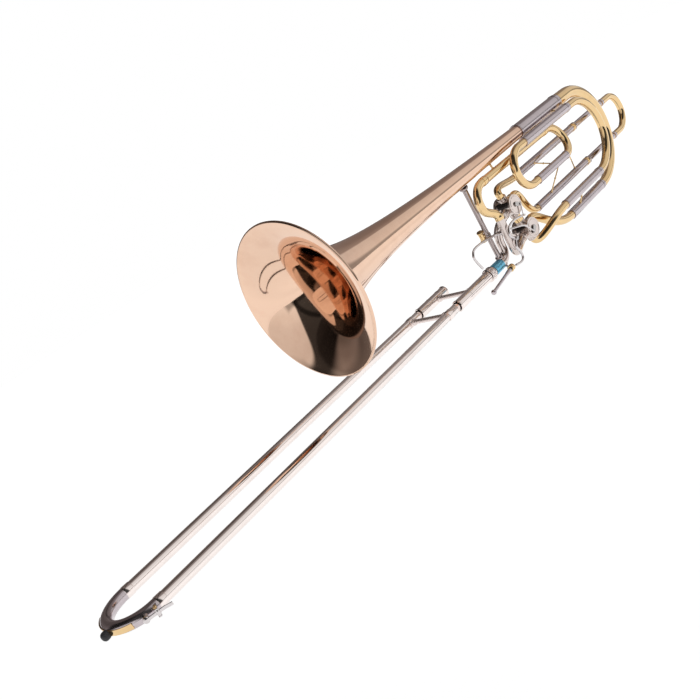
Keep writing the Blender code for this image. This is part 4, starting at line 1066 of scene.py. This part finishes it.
def make_outer_slide():
    low = SLIDE_LOW_X
    body = "hand_slide"
    for name, side, y in (("near", "bell_side", 0), ("far", "mouth_side", SPACING)):
        _, top = span(side + "_outer_tube")
        axis = at(0, y, 0)
        outline = [
            (low, OUTER_BORE_R), (low, OUTER_TUBE_R), (top - 0.3, OUTER_TUBE_R),
            (top, OUTER_TUBE_R - 0.2), (top, OUTER_BORE_R),
        ]
        shape = turned(outline, axis, X, 56)
        piece(name + "_outer_tube", chrome, body, [side + "_outer_tube"], shape)
        start, end = OUTER_BRACE_X - 7, OUTER_BRACE_X + 7
        bands = [
            ferrule(low + 0.4, low + 12, OUTER_TUBE_R, FERRULE_R, axis),
            ferrule(start, end, OUTER_TUBE_R, OUTER_TUBE_R + 0.7, axis),
        ]
        piece(name + "_tube_bands", chrome, body, [], *bands)
    radius = SPACING / 2
    centre = at(low, radius, 0)
    crook = tube(arc(centre, radius, -90, -270, 64, X, Y), OUTER_TUBE_R + 0.3, OUTER_BORE_R)
    guard = strip(arc(centre, radius + OUTER_TUBE_R + 0.5, 140, 230, 60, X, Y), 8, 1.2, Z)
    piece("slide_bow", nickel, body, ["slide_crook"], crook)
    piece("bow_guard", yellow_brass, body, [], guard)
    shape = slide_brace(OUTER_BRACE_X, OUTER_TUBE_R + 0.6)
    piece("slide_cross_brace", brace_plate, body, ["outer_brace"], shape)
    out = leaning(BUMPER_ANGLE, Y)
    outline = [
        (0, 0), (0, 5), (0.6, 5.6), (2, 6), (5.6, 6), (7.4, 5.2), (8.7, 3.6), (9.3, 1.8), (9.5, 0),
    ]
    bumper = turned(outline, centre + out * (radius + OUTER_TUBE_R + 0.3), out, 40)
    piece("bow_bumper", rubber, body, ["slide_bumper"], bumper)
    make_water_key(centre, radius)


def make_water_key(centre, radius):
    """The nipple and saddle on the bow, and the key's lever with its cork and spring."""
    out = leaning(WATER_KEY_ANGLE, Y)
    along = out.cross(Z)
    base = centre + out * (radius + OUTER_TUBE_R)
    nipple = [
        (-1, 0), (-1, 4.6), (0.4, 4.4), (1.4, 3.4), (3.8, 3.1), (4, 2.9), (4, 1.6), (1, 1.6),
        (1, 0),
    ]
    cork_low = base + out * 4.3
    pivot = cork_low + out * 4.6 - along * 15
    shapes = [turned(nipple, base, out, 32)]
    hub_half = 4
    for way in (-1, 1):
        middle = pivot + Z * way * (hub_half + 1.0)
        shapes.append(strip(line(middle + out * 2.4, middle - out * 13.6), 4.4, 1.4, along))
    head = [(0, 0), (0, 1.6), (0.6, 1.5), (0.9, 0.9), (0.9, 0)]
    shapes.append(turned(head, pivot - Z * (hub_half + 1.6), -Z, 24))
    piece("key_saddle", bright, "hand_slide", [], *shapes)
    pad = softened([(0, 0), (0, 3.6), (2.4, 3.6), (2.4, 0)], 0.3)
    piece("key_cork", cork, "water_key", ["water_key_cork"], turned(pad, cork_low, out, 28))
    lever_low = cork_low + out * 2.7
    cup = [(0, 0), (0, 4.1), (1.2, 4.2), (1.8, 3.6), (2.4, 2.2), (2.6, 0)]
    start = lever_low + out * 1.4
    finger = start - along * 34 + out * 3
    rise = curve(start - along * 21, -along, finger, -along, (5, 5), 12)
    path = join(line(start, start - along * 20), rise)
    half = [(-hub_half, 0), (-hub_half, 2.4), (0.3 - hub_half, 2.6)]
    hub = turned(half + mirrored(half, 0), pivot, Z, 28)
    shapes = [turned(cup, lever_low, out, 32), strip(path, 4.4, 1.6, Z), hub]
    piece("key_lever", bright, "water_key", ["water_key_lever"], *shapes)
    wire = 0.4
    start = pivot + Z * (hub_half + 2.0 + wire)
    spring = coil(start, Z, 2.0, wire, 3, 3)
    piece("key_spring", yellow_brass, "hand_slide", ["water_key_spring"], spring)


def make_hand_rest():
    """The rod below the receiver, with its knob, rubber collar and short post."""
    knob_at = at(42, -15.4, -13)
    end = at(-54, -33, -14)
    along = (end - knob_at).normalized()
    thin = 3.1
    length = (end - knob_at).length
    knob = [
        (-6, 0), (-6, 4.6), *bulge(-5.8, -3.4, 5.4, 6.6), (-2.8, 5.0), (1.4, 5.0),
        *bulge(1.8, 4, 5.2, 6.6), (4, 0),
    ]
    piece("rest_knob", yellow_brass, "root", [], turned(knob, knob_at, along, 60, 5.3))
    collar = softened([(4, 0), (4, 4.1), (9, 4.1), (9, 0)], 0.5)
    piece("rest_collar", rubber, "root", [], turned(collar, knob_at, along, 36))
    rod = [
        (9, 0), (9, 4), (23, 3.6), (25, 3.4), (27, thin), (length - 6, thin),
        *bulge(length - 6.4, length - 0.8, thin, thin + 1.8), (length, thin * 0.7), (length, 0),
    ]
    below = at(0, knob_at.y, knob_at.z).normalized()
    seat = X * knob_at.x + below * (RECEIVER_R + GAP)
    post = tube(line(seat, knob_at), 2.2, None, 24)
    piece("rest_rod", nickel, "root", ["hand_rest"], turned(rod, knob_at, along, 36), post)


def dress_inner_nodes():
    """Hidden inner pieces keep their CAD shape and get the machined finish."""
    for name in ("upper_bearing_plate", "lower_bearing_plate"):
        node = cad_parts[name]
        node.data.materials.clear()
        node.data.materials.append(steel)


def studio_lines(tree, way):
    """The light left by the edge above the floor, the tent's slit and mouth and a dark door."""
    edge = tree.blend(tree.facing(way, Z), 0.02, 0.16, EDGE_SHADE, 1.0)
    side = tree.blend(tree.facing(way, X), -0.90, -0.80, 1.0, EDGE_SHADE)
    across = tree.maths("ABSOLUTE", tree.facing(way, TENT_SLIT_ACROSS))
    slit = tree.blend(across, 0.03, 0.12, SLIT_SHADE, 1.0)
    door = tree.blend(tree.facing(way, DARK_DOOR_WAY), 0.78, 0.88, 1.0, DOOR_SHADE)
    mouth = tree.facing(way, TENT_MOUTH_WAY)
    near = tree.blend(mouth, -0.74, -0.70, 1.0, MOUTH_SHADE)
    far = tree.blend(mouth, -0.10, 0.15, MOUTH_SHADE, 1.0)
    behind = tree.blend(tree.facing(way, Y), 0.66, 0.78, MOUTH_SHADE, 1.0)
    around = tree.maths("MAXIMUM", tree.maths("MAXIMUM", near, far), behind)
    light = tree.maths("MAXIMUM", edge, side)
    for part in (slit, door, around):
        light = tree.maths("MULTIPLY", light, part)
    return light


def make_world():
    """White to the eye. Metal mirrors a white tent with a dark room high behind the object."""
    world = bpy.data.worlds.new("studio")
    bpy.context.scene.world = world
    tree = Shading(world)
    way = tree.place("Generated")
    shades = tree.nodes.new("ShaderNodeValToRGB")
    ramp = shades.color_ramp
    ramp.interpolation = "EASE"
    ramp.elements[0].position, ramp.elements[0].color = ROOM_SHADES[0]
    ramp.elements[1].position, ramp.elements[1].color = ROOM_SHADES[-1]
    for position, colour in ROOM_SHADES[1:-1]:
        ramp.elements.new(position).color = colour
    tree.set(shades, {"Fac": tree.ranged(tree.facing(way, DARK_ROOM_WAY), -1.0, 1.0, 0.0, 1.0)})
    room = tree.mixed(1.0, shades.outputs["Color"], studio_lines(tree, way), blend_type="MULTIPLY")
    mirrored = tree.any_ray("Is Glossy Ray", "Is Transmission Ray")
    seen = tree.any_ray("Is Camera Ray", "Is Glossy Ray", "Is Transmission Ray")
    values = {
        "Color": tree.mixed(mirrored, (1, 1, 1, 1), room),
        "Strength": tree.ranged(seen, 0.0, 1.0, ROOM_LIGHT, 1.0),
    }
    tree.set(tree.nodes["Background"], values)


def make_floor():
    """A pale floor that turns as white as the background away from the object."""
    material = bpy.data.materials.new("pale_floor")
    tree = Shading(material)
    far = tree.add("VectorMath", {0: tree.place("Object")}, operation="LENGTH")
    glow = tree.ranged(far, 0.6, 5.0, FLOOR_GLOW, FLOOR_GLOW + FLOOR_GLOW_RISE)
    seen = tree.any_ray("Is Camera Ray", "Is Glossy Ray", "Is Transmission Ray")
    values = {
        "Base Color": (0.9, 0.9, 0.9, 1),
        "Roughness": 0.9,
        "Emission Color": (1, 1, 1, 1),
        "Emission Strength": tree.maths("MULTIPLY", seen, glow),
    }
    tree.set(tree.nodes["Principled BSDF"], values)
    mesh = bpy.data.meshes.new("floor")
    half = FLOOR_HALF
    square = ((-half, -half), (half, -half), (half, half), (-half, half))
    mesh.from_pydata([(*corner, FLOOR_Z) for corner in square], [], [(0, 1, 2, 3)])
    mesh.materials.append(material)
    floor = bpy.data.objects.new("floor", mesh)
    bpy.context.scene.collection.objects.link(floor)


def make_lamp(name, middle, width, height, power):
    data = bpy.data.lights.new(name, "AREA")
    data.shape = "RECTANGLE"
    data.size = width
    data.size_y = height
    data.energy = power
    lamp = bpy.data.objects.new(name, data)
    lamp.location = middle
    lamp.rotation_euler = (middle - LAMP_TARGET).to_track_quat("Z", "Y").to_euler()
    lamp.visible_glossy = False
    bpy.context.scene.collection.objects.link(lamp)


def make_studio():
    make_world()
    make_floor()
    make_lamp("key_light", Vector((-1.0, -2.1, 1.3)), 2.2, 1.4, 19)
    make_lamp("fill_light", Vector((1.9, -1.6, 0.5)), 1.4, 1.4, 9)
    make_lamp("back_light", Vector((0.9, 2.2, 1.0)), 1.8, 1.0, 8)


def make_camera():
    data = bpy.data.cameras.new("photo_camera")
    data.sensor_width = 36.0
    data.lens = CAMERA_LENS
    data.clip_start = 0.01
    camera = bpy.data.objects.new("photo_camera", data)
    right = CAMERA_RIGHT.normalized()
    up = (CAMERA_UP - right * CAMERA_UP.dot(right)).normalized()
    turn = Matrix((right, up, right.cross(up))).transposed()
    camera.matrix_world = Matrix.Translation(CAMERA_AT) @ turn.to_4x4()
    bpy.context.scene.collection.objects.link(camera)
    bpy.context.scene.camera = camera


make_camera()
make_bell()
make_main_slide()
make_main_lower_tube()
make_first_wrap()
make_second_wrap()
make_valve("upper", UPPER_VALVE, UPPER_ARM_ANGLE)
make_valve("lower", lower_valve(), LOWER_ARM_ANGLE)
make_link_tube()
make_receiver()
make_wrap_braces()
make_levers(make_hand_brace())
make_inner_slide()
make_outer_slide()
make_hand_rest()
dress_inner_nodes()
make_studio()

bpy.context.scene.view_settings.view_transform = "Standard"
